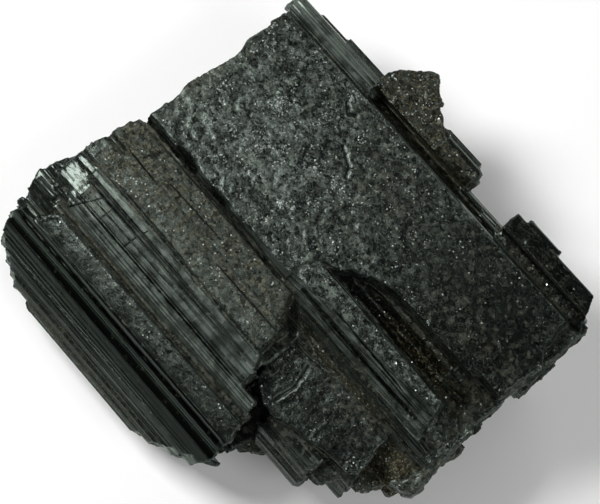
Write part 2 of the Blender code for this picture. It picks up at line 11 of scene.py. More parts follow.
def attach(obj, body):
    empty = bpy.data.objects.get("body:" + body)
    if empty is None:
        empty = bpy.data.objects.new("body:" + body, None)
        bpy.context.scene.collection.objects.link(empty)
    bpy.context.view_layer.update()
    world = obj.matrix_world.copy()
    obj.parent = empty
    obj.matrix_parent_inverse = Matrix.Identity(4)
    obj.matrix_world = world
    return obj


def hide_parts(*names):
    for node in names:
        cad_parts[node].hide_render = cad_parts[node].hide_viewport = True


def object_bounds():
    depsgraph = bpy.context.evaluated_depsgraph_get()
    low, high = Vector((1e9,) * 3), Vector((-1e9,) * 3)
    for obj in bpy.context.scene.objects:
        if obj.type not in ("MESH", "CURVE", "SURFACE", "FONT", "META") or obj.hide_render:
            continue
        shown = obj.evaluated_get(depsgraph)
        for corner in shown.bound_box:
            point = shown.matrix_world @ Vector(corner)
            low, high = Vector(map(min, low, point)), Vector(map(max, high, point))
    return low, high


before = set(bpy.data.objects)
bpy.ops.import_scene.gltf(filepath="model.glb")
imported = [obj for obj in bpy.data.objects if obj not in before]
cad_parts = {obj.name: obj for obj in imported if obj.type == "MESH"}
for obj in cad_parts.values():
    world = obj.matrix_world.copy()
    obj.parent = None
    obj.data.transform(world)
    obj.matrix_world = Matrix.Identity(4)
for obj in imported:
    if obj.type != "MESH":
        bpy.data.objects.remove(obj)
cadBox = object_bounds()
print("frame loaded:", sorted(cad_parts))

mm = 0.001
lustrous, pitted, broken = 0, 1, 2      # the three kinds of surface on the chunk
sorting = dict(endTilt=0.35, levelTilt=0.86)    # breaks lean this far along X, pitted faces are this level

# The chunk is laid out in millimetres from the middle of its top plate: x along the crystals, y across, z up.
chunk = dict(
    restDepth=24.0,             # from the top plate down to the resting faces
    shift=(-0.5, 0.0),          # brings the middle of the chunk over the origin
    striaPitch=1.1,             # mean spacing of the big ridges along a prism face
    striaDepth=0.08,
    netSize=0.2,                # spacing of the net drawn over the intergrowth
    triangles=192000,
    topWeight=0.98,             # the upper side is thinned last; at 1 it would not be thinned at all
    topShare=3e-6,              # how much finer the net stays there
    upperFrom=4.0,              # height above the floor where the upper side starts
    quickNet=1.8,
    seed=11,
)
restingZ = -chunk["restDepth"]


def toFrame(x, y, z):
    return Vector((x + chunk["shift"][0], y + chunk["shift"][1], z + chunk["restDepth"])) * mm


# Making one prism.

def striated(section, dice, pitch, depth):
    # Shallow ridges along the edges of an outline, as (edge, share of the edge, offset).
    # Edges that start at a "plain" corner stay flat.
    made = []
    for i, point in enumerate(section):
        following = section[(i + 1) % len(section)]
        made.append((i, 0.0, 0.0))
        length = math.dist(point[:2], following[:2])
        if len(point) > 2 or length < 1.6 * pitch:
            continue
        share = 0.0
        side = 1
        while True:
            share += pitch * dice.uniform(0.45, 1.25) / length
            if share > 1 - 0.4 * pitch / length:
                break
            made.append((i, share, side * depth * dice.uniform(0.3, 1.3)))
            side = -side
    return made


def placed(section, ridges):
    points = []
    for edge, share, offset in ridges:
        a = Vector(section[edge][:2])
        b = Vector(section[(edge + 1) % len(section)][:2])
        outward = (b - a).orthogonal().normalized()
        points.append(a.lerp(b, share) + outward * offset)
    return points


def outlineSolid(name, points, depth):
    # A flat outline extruded evenly about its plane, as a welded mesh object.
    curve = bpy.data.curves.new(name, "CURVE")
    curve.dimensions = "2D"
    curve.fill_mode = "BOTH"
    curve.extrude = depth / 2
    spline = curve.splines.new("POLY")
    spline.points.add(len(points) - 1)
    for knot, (a, b) in zip(spline.points, points):
        knot.co = (a, b, 0, 1)
    spline.use_cyclic_u = True
    maker = bpy.data.objects.new(name + "Outline", curve)
    bpy.context.scene.collection.objects.link(maker)
    bpy.context.view_layer.update()
    mesh = bpy.data.meshes.new_from_object(maker.evaluated_get(bpy.context.evaluated_depsgraph_get()))
    bpy.data.objects.remove(maker)
    bpy.data.curves.remove(curve)
    shape = bmesh.new()
    shape.from_mesh(mesh)
    bmesh.ops.remove_doubles(shape, verts=shape.verts, dist=1e-5)
    bmesh.ops.recalc_face_normals(shape, faces=shape.faces)
    shape.to_mesh(mesh)
    shape.free()
    mesh.name = name
    return bpy.data.objects.new(name, mesh)


def prism(crystal, dice):
    # One crystal: its outline across X carried from one end to the other. Its ends can lean (along X for each
    # millimetre up), be skewed (along X for each millimetre of y) and have an outline of their own.
    section = crystal["section"]
    farSection = crystal.get("farSection", section)
    start, end = crystal["span"]
    ridges = striated(section, dice, crystal.get("pitch", chunk["striaPitch"]), chunk["striaDepth"])
    near, far = placed(section, ridges), placed(farSection, ridges)
    leans = crystal.get("lean", (0.0, 0.0))
    skews = crystal.get("skew", (0.0, 0.0))
    drops = crystal.get("drop", (0.0, 0.0))
    top = max(p[1] for p in section)
    bottom = min(p[1] for p in section)
    midY = sum(p[0] for p in section) / len(section)
    obj = outlineSolid(crystal["name"], [p * mm for p in near], (end - start) * mm)
    for vertex in obj.data.vertices:
        atEnd = vertex.co.z > 0
        index = min(range(len(near)), key=lambda i: (near[i] * mm - vertex.co.xy).length_squared)
        y, z = far[index] if atEnd else near[index]
        x = end if atEnd else start
        x += leans[atEnd] * (z - top) + skews[atEnd] * (y - midY)
        z += drops[atEnd] * (z - bottom) / (top - bottom)
        vertex.co = toFrame(x, y, z)
    obj.data.update()
    return obj


def block(piece):
    # A piece given by its outline seen from above, from its top down to its foot, which can be drawn in.
    outline = [Vector(p) for p in piece["plan"]]
    middle = sum(outline, Vector((0.0, 0.0))) / len(outline)
    top, foot = piece["heights"]
    obj = outlineSolid(piece["name"], [p * mm for p in outline], (top - foot) * mm)
    for vertex in obj.data.vertices:
        atTop = vertex.co.z > 0
        x, y = vertex.co.x / mm, vertex.co.y / mm
        if not atTop:
            x = middle.x + (x - middle.x) * piece["draw"]
            y = middle.y + (y - middle.y) * piece["draw"]
        z = top + piece.get("tiltX", 0.0) * (x - middle.x) + piece.get("tiltY", 0.0) * (y - middle.y)
        vertex.co = toFrame(x, y, z if atTop else foot)
    obj.data.update()
    return obj


# The crystals.

plate = dict(
    name="plate", span=(-29.8, 34.3), pitted=True, lean=(0.03, 0.10), drop=(0, -0.9), section=[
        (22, -0.4, "plain"), (13, 0.1, "plain"), (3, 0, "plain"), (-3, -0.1), (-3.6, -0.9),
        (-4.3, -2.6), (-5.6, -5), (-8, -14), (-7.2, -23.2), (-5.4, restingZ, "plain"),
        (-1.6, restingZ), (-1.1, -23.3), (-0.7, restingZ, "plain"), (4.3, restingZ), (4.7, -23.1),
        (5.3, restingZ, "plain"), (9.4, restingZ), (10.6, -22.9), (16, -21.7), (20.6, -19), (22.6, -15),
        (24.2, -12.6), (25, -9),
        (24.4, -5.5), (22.9, -3.4), (22.5, -1.2)])

rightSide = dict(
    innerStrip=dict(span=(-28.9, -11.9), lean=(0.3, 0), section=[
        (22.6, -3), (22.8, -0.9), (23.3, -0.3), (23.9, -0.9), (24, -3.4)]),
    outerStrip=dict(span=(-28.8, -11.8), lean=(0.3, 0), skew=(0.3, 0), section=[
        (23.8, -5), (24.1, -1.1), (24.5, -0.8), (25.6, -1.9), (26.2, -4.6), (25.4, -6.5)]),
    stripLedge1=dict(span=(-26.4, -19.6), skew=(1, 0), section=[
        (24.4, -7), (25.6, -3), (26.5, -3.6), (26.9, -7), (25.6, -9.5)]),
    stripLedge2=dict(span=(-20.4, -11.6), section=[
        (24.4, -7), (25.6, -2.9), (27, -3.6), (27.3, -7), (25.6, -9.5)]),
    sideStep=dict(span=(-12.6, 33), lean=(0, 0.08), section=[
        (21.6, -6), (22.6, -2.9), (23.4, -4.6), (24.6, -5.2), (26, -8), (25.6, -12), (22, -16)]),
    sideBlade=dict(span=(-3.6, 7.2), pitted=True, section=[
        (24.4, -6.5), (25, -3.4), (26, -2.8), (27.3, -2.6), (28.1, -5), (27.3, -9)]),
    sideSliver=dict(span=(0.4, 7.3), section=[
        (26.9, -4), (27.4, -1.9), (27.8, -2.3), (28, -4.6)]),
    outerSliver=dict(span=(-1.6, 6.2), skew=(1.5, 0), section=[
        (27, -6), (28.2, -3.2), (28.8, -3.6), (29.1, -6), (27.6, -9.5)]),
    notchSliver=dict(span=(7, 15.6), section=[
        (23.8, -7), (24.3, -3.7), (24.8, -4), (25.4, -7), (24.6, -9)]),
    notchRib=dict(span=(11.6, 16), section=[
        (22.8, -6), (23.3, -2.8), (23.8, -3.1), (24.2, -6)]),
    cornerBlock=dict(span=(15.4, 32.6), lean=(0.1, 0.16), skew=(0, -0.55), pitted=True, section=[
        (22, -8), (22.8, -3), (24.2, -2.6), (24.6, -2.1), (25, -2.6), (27.6, -2.6), (28.3, -4.8),
        (28.2, -9), (26.8, -13.5), (23, -17)]),
    cornerSliver=dict(span=(17.4, 23.3), skew=(0.8, 0), section=[
        (27.4, -4), (27.9, -1.9), (28.3, -2), (28.7, -3.6), (28.2, -5)]),
    cornerShelf=dict(span=(24, 34.3), lean=(0, 0.08), skew=(0, -0.05), pitted=True, section=[
        (24.4, -4.4), (15, -4.2), (12, -8), (12, -16), (20, -16.5), (24, -12)]),
)

leftSide = dict(
    step1=dict(calm=0.5, span=(-30.9, 4.4), skew=(0.27, -0.45), pitted=True, section=[
        (-3.6, -4), (-4.5, -1.6, "plain"), (-8.4, -1.8), (-8.9, -2.6), (-9.4, -8), (-4, -8)]),
    step2=dict(calm=0.5, span=(-27.6, 6.4), pitted=True, section=[
        (-8.2, -2.6), (-8.9, -2, "plain"), (-9.7, -2.1), (-9.9, -2.6), (-9.9, -7.5), (-7.8, -7.5)]),
    step3=dict(calm=0.5, span=(-31.9, 6.2), skew=(0.2, -0.1), pitted=True, section=[
        (-9.2, -2.7), (-9.8, -2.1, "plain"), (-13, -2.4), (-13.5, -3), (-13.8, -7.5), (-9.4, -7.5)]),
    face1=dict(calm=0.6, span=(-28.4, 7.4), skew=(0, -0.4), section=[
        (-13.2, -3.2), (-13.6, -2.6), (-14.7, -2.8), (-15.4, -3.2), (-15.8, -8.5), (-12.8, -8.5)]),
    face1Tip=dict(calm=0.6, span=(-32.4, -27.6), lean=(0.2, 0), drop=(-0.9, 0), section=[
        (-13.2, -3.2), (-13.6, -2.6), (-14.5, -2.7), (-14.8, -3), (-15.4, -3.1), (-15.8, -8.5),
        (-12.8, -8.5)]),
    face2Tip=dict(calm=0.6, span=(-32.5, -27.3), lean=(0.2, 0), drop=(-1, 0), section=[
        (-15.2, -3.6), (-15.7, -3), (-17.8, -3.4), (-18.2, -3.9), (-18.5, -8.5), (-15, -8.5)]),
    face2=dict(calm=0.6, span=(-27.9, 8.4), section=[
        (-15.2, -3.6), (-15.6, -3), (-17.8, -3.5), (-18.2, -3.9), (-18.5, -8.5), (-15, -8.5)]),
    face3=dict(calm=0.6, span=(-28.4, 11.7), lean=(0, 0.1), skew=(-0.9, -0.15), section=[
        (-17.9, -4.2), (-18.3, -3.7), (-19.6, -4.2), (-20.2, -4.8), (-20.5, -8), (-17.6, -8)]),
    face3Tip=dict(calm=0.6, span=(-31.6, -27.2), drop=(-1, 0), lean=(0.2, 0), skew=(-1.1, 0), section=[
        (-17.8, -4.2), (-18.2, -3.7), (-19.4, -4.1), (-19.7, -4.9), (-20, -8), (-17.6, -8)]),
    endLedge=dict(span=(-33.8, -24), lean=(-0.08, 0), skew=(0.32, 0), section=[
        (-12, -6.6), (-15.6, -5.2), (-18, -5), (-19.4, -6.2), (-19.6, -12), (-14, -14)]),
    brokenTip=dict(span=(-34.2, -24), lean=(-0.08, 0), skew=(-0.3, 0), section=[
        (-18.6, -7.2), (-19.4, -5.7), (-21, -6), (-22.4, -6.8), (-24.4, -8.2), (-25.6, -10), (-24, -15),
        (-19, -16)]),
    tipSliver=dict(span=(-33.2, -30.2), skew=(-2, 0), section=[
        (-19.9, -6.8), (-20.3, -5), (-20.8, -5.2), (-21.1, -7)]),
    tipRib=dict(span=(-33.2, -29.4), lean=(0.2, 0), section=[
        (-23.2, -8.8), (-23.9, -6.4), (-24.9, -7.2), (-25.2, -9)]),
    grooveFloor=dict(span=(-29, 12.4), section=[
        (-19.6, -5.6), (-21.4, -5.5), (-22.4, -8.5), (-19, -8.5)]),
    pittedBand=dict(calm=0.5, span=(-28.2, 12.9), lean=(0.1, 0.2), skew=(0.75, -0.25), pitted=True, section=[
        (-21.1, -5.7), (-21.7, -4.9, "plain"), (-24.3, -5.7), (-25, -6.6), (-25.4, -11), (-20, -11)]),
    glossy1=dict(calm=0.35, span=(-32, 13.2), lean=(0.1, 0.3), skew=(0.9, -0.1), section=[
        (-23.8, -7.4), (-24.9, -5.9), (-25.5, -6.9), (-25.7, -6.7), (-26.2, -7.6), (-26.8, -11),
        (-22, -16)]),
    glossy2=dict(calm=0.22, pitch=3, span=(-32.8, 13.4), lean=(0, 0.3), section=[
        (-25, -7.4), (-26.2, -7.5), (-26.6, -8.7), (-27.7, -9.4), (-28.6, -13), (-23, -17)]),
    glossy3=dict(calm=0.25, pitch=3, span=(-32.7, 12.9), lean=(0, 0.3), skew=(-0.15, 0.2), section=[
        (-26.6, -9.2), (-27.6, -9.2), (-29.1, -11.1), (-30, -14), (-25, -18)]),
    glossy4=dict(calm=0.35, pitch=2, span=(-31.9, 11), lean=(0, 0.2), skew=(-0.8, 1.2), section=[
        (-28, -11), (-29, -10.9), (-30.2, -12.4), (-31, -16), (-26, -20)]),
    glossy5=dict(calm=0.4, span=(-30.3, 8), lean=(0, 0.2), skew=(-1.2, 1.4), section=[
        (-29.2, -12.6), (-30.1, -12.3), (-31.4, -14.1), (-31.8, -17.5), (-27, -20)]),
    glossy6=dict(span=(-28.4, 5.8), skew=(-1.6, 1.4), section=[
        (-30.4, -14.6), (-31.2, -13.9), (-31.7, -14.3), (-32.4, -15.5), (-32.2, -18.5), (-28, -19.5)]),
    glossy7=dict(span=(-24.6, 3.4), skew=(-1.6, 1.6), section=[
        (-31.2, -15.8), (-32.4, -15.3), (-33.1, -16.8), (-32.4, -19), (-29, -19.8)]),
    leftCore=dict(span=(-30.6, 8), lean=(0.1, 0.3), section=[
        (-5, -6), (-22, -7), (-27, -12), (-30, -16.8), (-29.6, -19.4), (-27, -21.8),
        (-24.6, -23.3), (-21.6, restingZ, "plain"), (-16, restingZ), (-14.6, -23), (-13.2, -23.6),
        (-9.5, -21.4), (-4, -18)]),
)

trough = dict(
    name="trough", heights=(3, -5.2), draw=0.93, plan=[
        (0.9, -3), (1.3, -0.9), (2.3, 0.9), (4.1, 2.2), (6.2, 4), (8.6, 5.4), (12.5, 6.6), (17, 6.9),
        (29.6, 6.8), (30.4, 8), (38, 7.4), (38, -8), (0.9, -8)])

plateStart = dict(
    name="plateStart", heights=(3, -7), draw=1, plan=[
        (-34, 27), (-28.6, 27), (-28.6, 20.2), (-28.9, 15.6), (-28.4, 13.2), (-28.2, 11.6), (-28.5, 9.6),
        (-29.2, 5.2), (-29.4, 3.4), (-29.1, 1.4), (-29.1, -2.4), (-29.4, -5), (-34, -5)])

deepStart = dict(
    name="deepStart", heights=(-6, -26), draw=1, plan=[
        (-34, 28), (-27.6, 28), (-27.2, 14), (-26.6, 8), (-27.4, -2), (-27, -10), (-34, -10)])

deepEnd = dict(
    name="deepEnd", heights=(-8, -26), draw=1, plan=[
        (31.6, 28), (30.8, 12), (30.2, 4), (29.6, -10), (38, -10), (38, 28)])

plateEnd = dict(
    name="plateEnd", heights=(3, -3.4), draw=1, plan=[
        (31.6, 26), (31.5, 20.2), (32.3, 17.4), (33, 16), (34.1, 14.8), (34, 12), (33.6, 9.2),
        (33.4, 4), (40, 4), (40, 26)])

middle = dict(
    ridge=dict(span=(2, 29.4), lean=(0.35, -0.2), skew=(0.22, -0.12), drop=(0, -0.9), pitted=True, section=[
        (1.8, -2), (1.2, -0.7), (-0.6, -0.35), (-2.5, -0.6), (-3.6, -2), (-4.5, -3.7), (-4.7, -8),
        (2.2, -8)],
        farSection=[
        (1.9, -2.2), (1.3, -0.9), (0.6, -0.7), (-0.2, -0.9), (-2.4, -2.4), (-4.4, -4), (-4.7, -8),
        (2.2, -8)]),
    stainedLedge=dict(span=(5.2, 30.2), skew=(1.2, 0), rough=True, section=[
        (2.6, -8), (2.9, -4.2), (3.9, -3.6), (5, -4.3), (6.4, -8)]),
    longRib=dict(span=(0.6, 32.4), drop=(0, -0.5), section=[
        (-3.9, -7), (-4.2, -4.3), (-4.6, -3.7), (-5.1, -4.2), (-5.7, -5.4), (-6.2, -9)]),
    stainedSlope=dict(span=(2.5, 24.6), skew=(0.3, 0), rough=True, section=[
        (-4.4, -4.6), (-5.9, -5.7), (-6.9, -6.9), (-8.2, -7.7), (-9, -12), (-3.5, -12)]),
)

endRim = dict(
    name="endRim", heights=(-6.4, -13), draw=0.92, tiltY=0.25, plan=[
        (31.4, -1.4), (33.8, 0.2), (34.5, -2.4), (35, -6.6), (35, -9.4), (33.8, -10.4), (31.6, -10.8),
        (33.2, -8.8), (33.5, -6.4), (32.9, -3.6)])

lowerPlate = dict(
    name="lowerPlate", heights=(-7, -14), draw=0.86, tiltX=-0.03, tiltY=0.10, plan=[
        (26, -5.4), (27, -6.8), (27.3, -8.8), (27.9, -11.5), (28.3, -13.1), (27, -14.5), (25, -14.6),
        (22.8, -14.9), (20, -15.6), (17, -16.2), (15.4, -17), (13.6, -17.2), (11.9, -17.1), (10.2, -16.3),
        (8.8, -15.5), (8, -13.6), (6.8, -11.6), (6.4, -8.8), (8, -8.1), (13, -7.9), (17.6, -7), (20, -6.2)])

farEnd = dict(
    lowerBody=dict(span=(3, 27), skew=(0, -0.22), lean=(0, 0.12), section=[
        (-3, -9), (-13.6, -9.8), (-15, -10.6), (-17, -14), (-15.6, -18.5), (-11, -22.4),
        (-5, -23.8, "plain"), (1, -23.4), (2, -12)]),
    gapFloor=dict(span=(2, 14), lean=(0, 0.2), section=[
        (-8, -10.5), (-16, -11.6), (-22, -14.6), (-24.6, -17), (-24, -20.4), (-16, -22.6), (-6, -22)]),
    lowerBlade=dict(span=(13.2, 23.2), lean=(0, 0.1), skew=(-0.2, 0.1), section=[
        (-14.4, -10.4), (-15.6, -8.6), (-17.8, -9), (-18.7, -9.8), (-19, -11.6), (-18, -17), (-14, -18)]),
    bladeEdge=dict(span=(12.8, 17), section=[
        (-18.4, -11), (-18.8, -9.2), (-19.2, -9.3), (-19.6, -11.4)]),
    lowerSkirt=dict(span=(13.4, 23.2), lean=(0, 0.1), skew=(-0.8, 0), section=[
        (-18.2, -11.2), (-18.9, -10.6), (-20.2, -12), (-20.8, -13.6), (-20, -17), (-17, -17)]),
    brownFoot=dict(span=(11.6, 17.8), lean=(0, 0.3), skew=(0, 0.9), rough=True, section=[
        (-17, -13), (-20.6, -14), (-22.4, -15.4), (-23.2, -17), (-22.2, -20), (-17, -20.6),
        (-14, -18)]),
    knob1=dict(span=(21.6, 26.2), lean=(0, 0.2), skew=(0, 0.35), rough=True, section=[
        (-13, -11), (-15.6, -10.6), (-17.4, -11.6), (-18.2, -13), (-17.8, -16.5), (-14, -18.5)]),
    knob2=dict(span=(24, 30.6), lean=(0, 0.15), skew=(0, 0.5), rough=True, section=[
        (-11, -11), (-13.2, -11.4), (-14.6, -12.8), (-14.4, -16.5), (-11, -19)]),
    endShelf=dict(span=(20, 33.6), skew=(0, 0.15), lean=(0, 0.06), rough=True, section=[
        (-3, -8.4), (-7.4, -9.2), (-9.2, -10.6), (-10.8, -12), (-11.4, -15), (-10, -20.8),
        (-3, -22), (2, -16)]),
    endWall=dict(span=(26, 32.6), lean=(0, -0.1), skew=(0, -0.05), drop=(0, -2.4), rough=True,
        section=[
        (8.6, -1), (7.4, -1.6), (5, -3.4), (2.6, -3.8), (0.5, -3), (-1.4, -2.4), (-3.4, -3.3), (-4.4, -5),
        (-4.6, -11), (9, -14)]),
    endBulge=dict(span=(24, 33.9), lean=(0, 0.18), skew=(0, -0.09), rough=True, section=[
        (16, -5), (8, -5.6), (2, -5.2), (-1.5, -5.6), (-4, -7.4), (-4.6, -14), (0, -19),
        (12, -19), (18, -13)]),
)

tipBlock = dict(
    name="tipBlock", calm=1.7, heights=(-2.7, -9.5), draw=0.82, tiltY=-0.10, plan=[
        (-12.4, 24.6), (-12.4, 28.2), (-11.9, 29.2), (-10.2, 30.6), (-9.4, 31.8), (-7.8, 33.2), (-7.3, 32.6),
        (-6.6, 32), (-5.2, 31), (-4.5, 30.8), (-3.7, 29.6), (-3.2, 29.4), (-1.4, 28.4), (0.6, 27.2),
        (0.6, 24.6)])

def ditrigonal(y, z, radius, turn):
    # The rounded triangle that a tourmaline prism has across its length.
    corners = 15
    outline = []
    for i in range(corners):
        angle = -2 * math.pi * i / corners
        reach = radius * (1 + 0.13 * math.cos(3 * (angle - turn)))
        outline.append((y + reach * math.cos(angle), z + reach * math.sin(angle)))
    return outline


# The prisms that show below and on the far side, as (y, z, radius, turn, start, end, lean).
underside = [
    (18.2, -13.4, 6.4, 0.4, -28.4, 29.6, (0.05, 0.15)),
    (12.4, -17.2, 5.6, 1.5, -29.2, 31.6, (-0.10, 0.2)),
    (23, -10, 3.6, 0.2, -28.2, -3, (0, 0)),
    (22.4, -14.8, 2.6, 1.1, -25.8, 18.4, (0, 0.1)),
    (17.4, -19.6, 2.3, 0.3, -27, 26.5, (0.1, -0.1)),
    (-13, -16.5, 6.6, 2, -30.4, 9, (-0.2, 0.3)),
    (-2.6, -17.4, 6.3, 0.9, -28.8, 31.4, (0.06, 0.1)),
    (-6.6, -11.6, 4.6, 1.7, -29.8, 27, (0.06, 0.1)),
    (-9.8, -21, 2.7, 0.5, -28, 6.4, (0.1, 0.1)),
    (-21.6, -17.6, 5.2, 1.1, -29.6, 4, (-0.1, 0.3)),
    (-27.4, -20, 2.4, 2.2, -26.2, 1.2, (0, 0.2)),
    (4, -16, 7.2, 2.7, -27.8, 30.4, (0.1, 0.1)),
    (8.6, -10.2, 4.4, 0.7, -28.9, 32.4, (0.1, 0)),
]


def named(*tables):
    return [dict(row, name=name) for table in tables for name, row in table.items()]


def undersideCrystals():
    return [dict(name=f"under{i + 1}", span=(start, end), lean=lean, section=ditrigonal(y, z, radius, turn),
                 pitch=0.9) for i, (y, z, radius, turn, start, end, lean) in enumerate(underside)]


# Growing them together.

def evaluated(obj):
    bpy.context.view_layer.update()
    return bpy.data.meshes.new_from_object(obj.evaluated_get(bpy.context.evaluated_depsgraph_get()))


def cutBy(stem, cutters):
    # The plate with its recess and its broken ends cut out of it.
    tools = bpy.data.collections.new("cuts")
    for obj in cutters:
        tools.objects.link(obj)
    bpy.context.scene.collection.objects.link(stem)
    hollow = stem.modifiers.new("trough", "BOOLEAN")
    hollow.operation = "DIFFERENCE"
    hollow.operand_type = "COLLECTION"
    hollow.collection = tools
    hollow.solver = "EXACT"
    mesh = evaluated(stem)
    bpy.data.objects.remove(stem)
    for obj in cutters:
        bpy.data.objects.remove(obj)
    bpy.data.collections.remove(tools)
    return mesh


def kindOfFace(normal, row):
    if row.get("rough") or abs(normal.x) > sorting["endTilt"]:
        return broken
    if row.get("pitted") and normal.z > sorting["levelTilt"]:
        return pitted
    return lustrous


def grownTogether(meshes, rows):
    # All the crystals in one overlapping mesh, with the kind of surface and the crystal of each face.
    points, faces, kinds, owners = [], [], [], []
    for number, (mesh, row) in enumerate(zip(meshes, rows)):
        first = len(points)
        points += [v.co.copy() for v in mesh.vertices]
        faces += [[first + i for i in face.vertices] for face in mesh.polygons]
        kinds += [kindOfFace(face.normal, row) for face in mesh.polygons]
        owners += [number] * len(mesh.polygons)
        bpy.data.meshes.remove(mesh)
    return points, faces, kinds, owners


def skinned(points, faces, size):
    # The outer surface of the intergrowth as one even net.
    mesh = bpy.data.meshes.new("net")
    mesh.from_pydata(points, [], faces)
    obj = bpy.data.objects.new("net", mesh)
    bpy.context.scene.collection.objects.link(obj)
    net = obj.modifiers.new("skin", "REMESH")
    net.mode = "VOXEL"
    net.voxel_size = size * mm
    net.adaptivity = 0.0
    joined = evaluated(obj)
    bpy.data.objects.remove(obj)
    return joined


def placesOf(mesh, what="co"):
    values = np.empty(len(mesh.vertices) * 3)
    mesh.vertices.foreach_get(what, values)
    return values.reshape(-1, 3)


def edgesOf(mesh):
    pairs = np.empty(len(mesh.edges) * 2, dtype=np.int64)
    mesh.edges.foreach_get("vertices", pairs)
    return pairs.reshape(-1, 2)


def averaged(values, pairs, rounds):
    # Evens out a value over the net: each vertex takes half of its neighbours' mean.
    count = len(values)
    ends = np.concatenate([pairs[:, 0], pairs[:, 1]])
    others = np.concatenate([pairs[:, 1], pairs[:, 0]])
    share = np.maximum(np.bincount(ends, minlength=count), 1)
    for _ in range(rounds):
        values = 0.5 * values + 0.5 * np.bincount(ends, weights=values[others], minlength=count) / share
    return values


# Relief.

relief = dict(
    pits=0.16,              # lumps and pits of the growth surfaces
    grain=0.07,            # the finer grain on them
    hackle=0.55,            # columns of the broken ends
    splinter=0.20,          # thin slivers on the broken ends
    ridges=0.060,           # ridges along the prism faces
    threads=0.022,          # the threads between those ridges
)


def growthHeight(p):
    swell = noise.noise(p / 7.5)
    lumps = noise.noise(p / 2.6 + Vector((4.0, 1.0, 7.0)))
    pits = max(0.0, noise.noise(p / 1.3 + Vector((9.0, 3.0, 2.0)))) ** 1.5
    grain = noise.noise(p / 0.85 + Vector((3.0, 6.0, 1.0))) + 0.8 * noise.noise(p / 0.5)
    return relief["pits"] * (0.9 * swell + 0.45 * lumps - 1.5 * pits) + relief["grain"] * grain


def brokenHeight(p):
    column = noise.voronoi(Vector((p.x / 16.0, p.y / 2.7, p.z / 2.2)))[1][0]
    steps = noise.noise(column * 5.3)
    sliver = noise.voronoi(Vector((p.x / 9.0, p.y / 1.1, p.z / 0.9)))[1][0]
    slivers = noise.noise(sliver * 7.1)
    swell = noise.noise(Vector((p.x / 9.0, p.y / 6.0, p.z / 6.0)))
    chips = noise.noise(p / 1.7 + Vector((2.0, 8.0, 5.0))) + 0.4 * noise.noise(p / 0.6)
    return relief["hackle"] * (1.3 * steps + 0.6 * swell + 0.5 * chips) + relief["splinter"] * slivers


def striaHeight(p):
    ridges = noise.noise(Vector((p.x / 45.0, p.y / 0.8, p.z / 0.8)))
    threads = noise.noise(Vector((p.x / 20.0, p.y / 0.38 + 5.0, p.z / 0.38)))
    swell = noise.noise(Vector((p.x / 14.0, p.y / 2.4, p.z / 2.4 + 3.0)))
    return relief["ridges"] * (ridges + 0.7 * swell) + relief["threads"] * threads


# Slots on the upper side: the way they run, half their width and how deep they go.
furrows = [
    dict(path=[(-29.5, -3.5), (-21, -3.7), (-10, -3.9), (0.5, -4.2)], width=0.32, depth=0.45),
    dict(path=[(-22.6, -3.2), (-20.6, -3), (-19.2, -3.5)], width=0.75, depth=0.60),
    dict(path=[(-15, -3.6), (-13.2, -3.4), (-12, -3.8)], width=0.50, depth=0.45),
    dict(path=[(-12.6, 19.6), (-11.2, 18.6), (-10.3, 19.1)], width=0.34, depth=0.40),
    dict(path=[(-8, 14.8), (-5, 13.4), (-4.2, 12)], width=0.30, depth=0.20),
    dict(path=[(12, -8.8), (13.1, -12.2), (12.6, -15.3)], width=0.30, depth=0.25),
    dict(path=[(-31, -25.5), (-8, -25.6), (12, -25.4)], width=0.30, depth=0.25),
    dict(path=[(4, -2.9), (16, -3), (28, -2.8)], width=0.28, depth=0.25),
]


def furrowDepths(places):
    # How deep each place lies in its deepest furrow, in millimetres, and how far inside one, from 0 to 1.
    x = places[:, 0] / mm - chunk["shift"][0]
    y = places[:, 1] / mm - chunk["shift"][1]
    wander = np.array([0.12 * noise.noise(Vector((a / 1.4, b / 1.4, 0.0))) for a, b in zip(x, y)])
    depths, inside = np.zeros(len(x)), np.zeros(len(x))
    for furrow in furrows:
        for (ax, ay), (bx, by) in zip(furrow["path"], furrow["path"][1:]):
            length = math.hypot(bx - ax, by - ay)
            along = np.clip(((x - ax) * (bx - ax) + (y - ay) * (by - ay)) / length ** 2, 0, 1)
            off = np.hypot(x - ax - along * (bx - ax), y - ay - along * (by - ay)) + wander
            near = np.exp(-(off / furrow["width"]) ** 2)
            depths = np.maximum(depths, furrow["depth"] * near)
            inside = np.maximum(inside, near)
    return depths, inside


def roughened(mesh, points, faces, kinds, calms):
    # Moves the net in and out over its faces, and leaves the resting faces flat.
    finder = BVHTree.FromPolygons(points, faces)
    pairs = edgesOf(mesh)
    nearest = [finder.find_nearest(vertex.co)[2] for vertex in mesh.vertices]
    kind = np.array([kinds[i] for i in nearest])
    calm = averaged(np.array([calms[i] for i in nearest]), pairs, 4)
    pittedShare = averaged((kind == pitted).astype(float), pairs, 3)
    brokenShare = averaged((kind == broken).astype(float), pairs, 3)
    normals = [v.normal.copy() for v in mesh.vertices]
    cuts = furrowDepths(placesOf(mesh))[0]
    for i, vertex in enumerate(mesh.vertices):
        if vertex.co.z < 0.25 * mm:
            vertex.co.z = 0.0
            continue
        height = 0.0
        p = vertex.co / mm
        asPitted, asBroken = pittedShare[i], brokenShare[i]
        asFace = 1 - asPitted - asBroken
        if asPitted > 0.01:
            height += asPitted * calm[i] * growthHeight(p)
        if asBroken > 0.01:
            height += asBroken * brokenHeight(p)
        if asFace > 0.01:
            height += asFace * calm[i] * striaHeight(p)
        if normals[i].z > 0.3 and p.z > 6.0:
            height -= cuts[i]
        vertex.co += normals[i] * (height * mm)
    mesh.update()


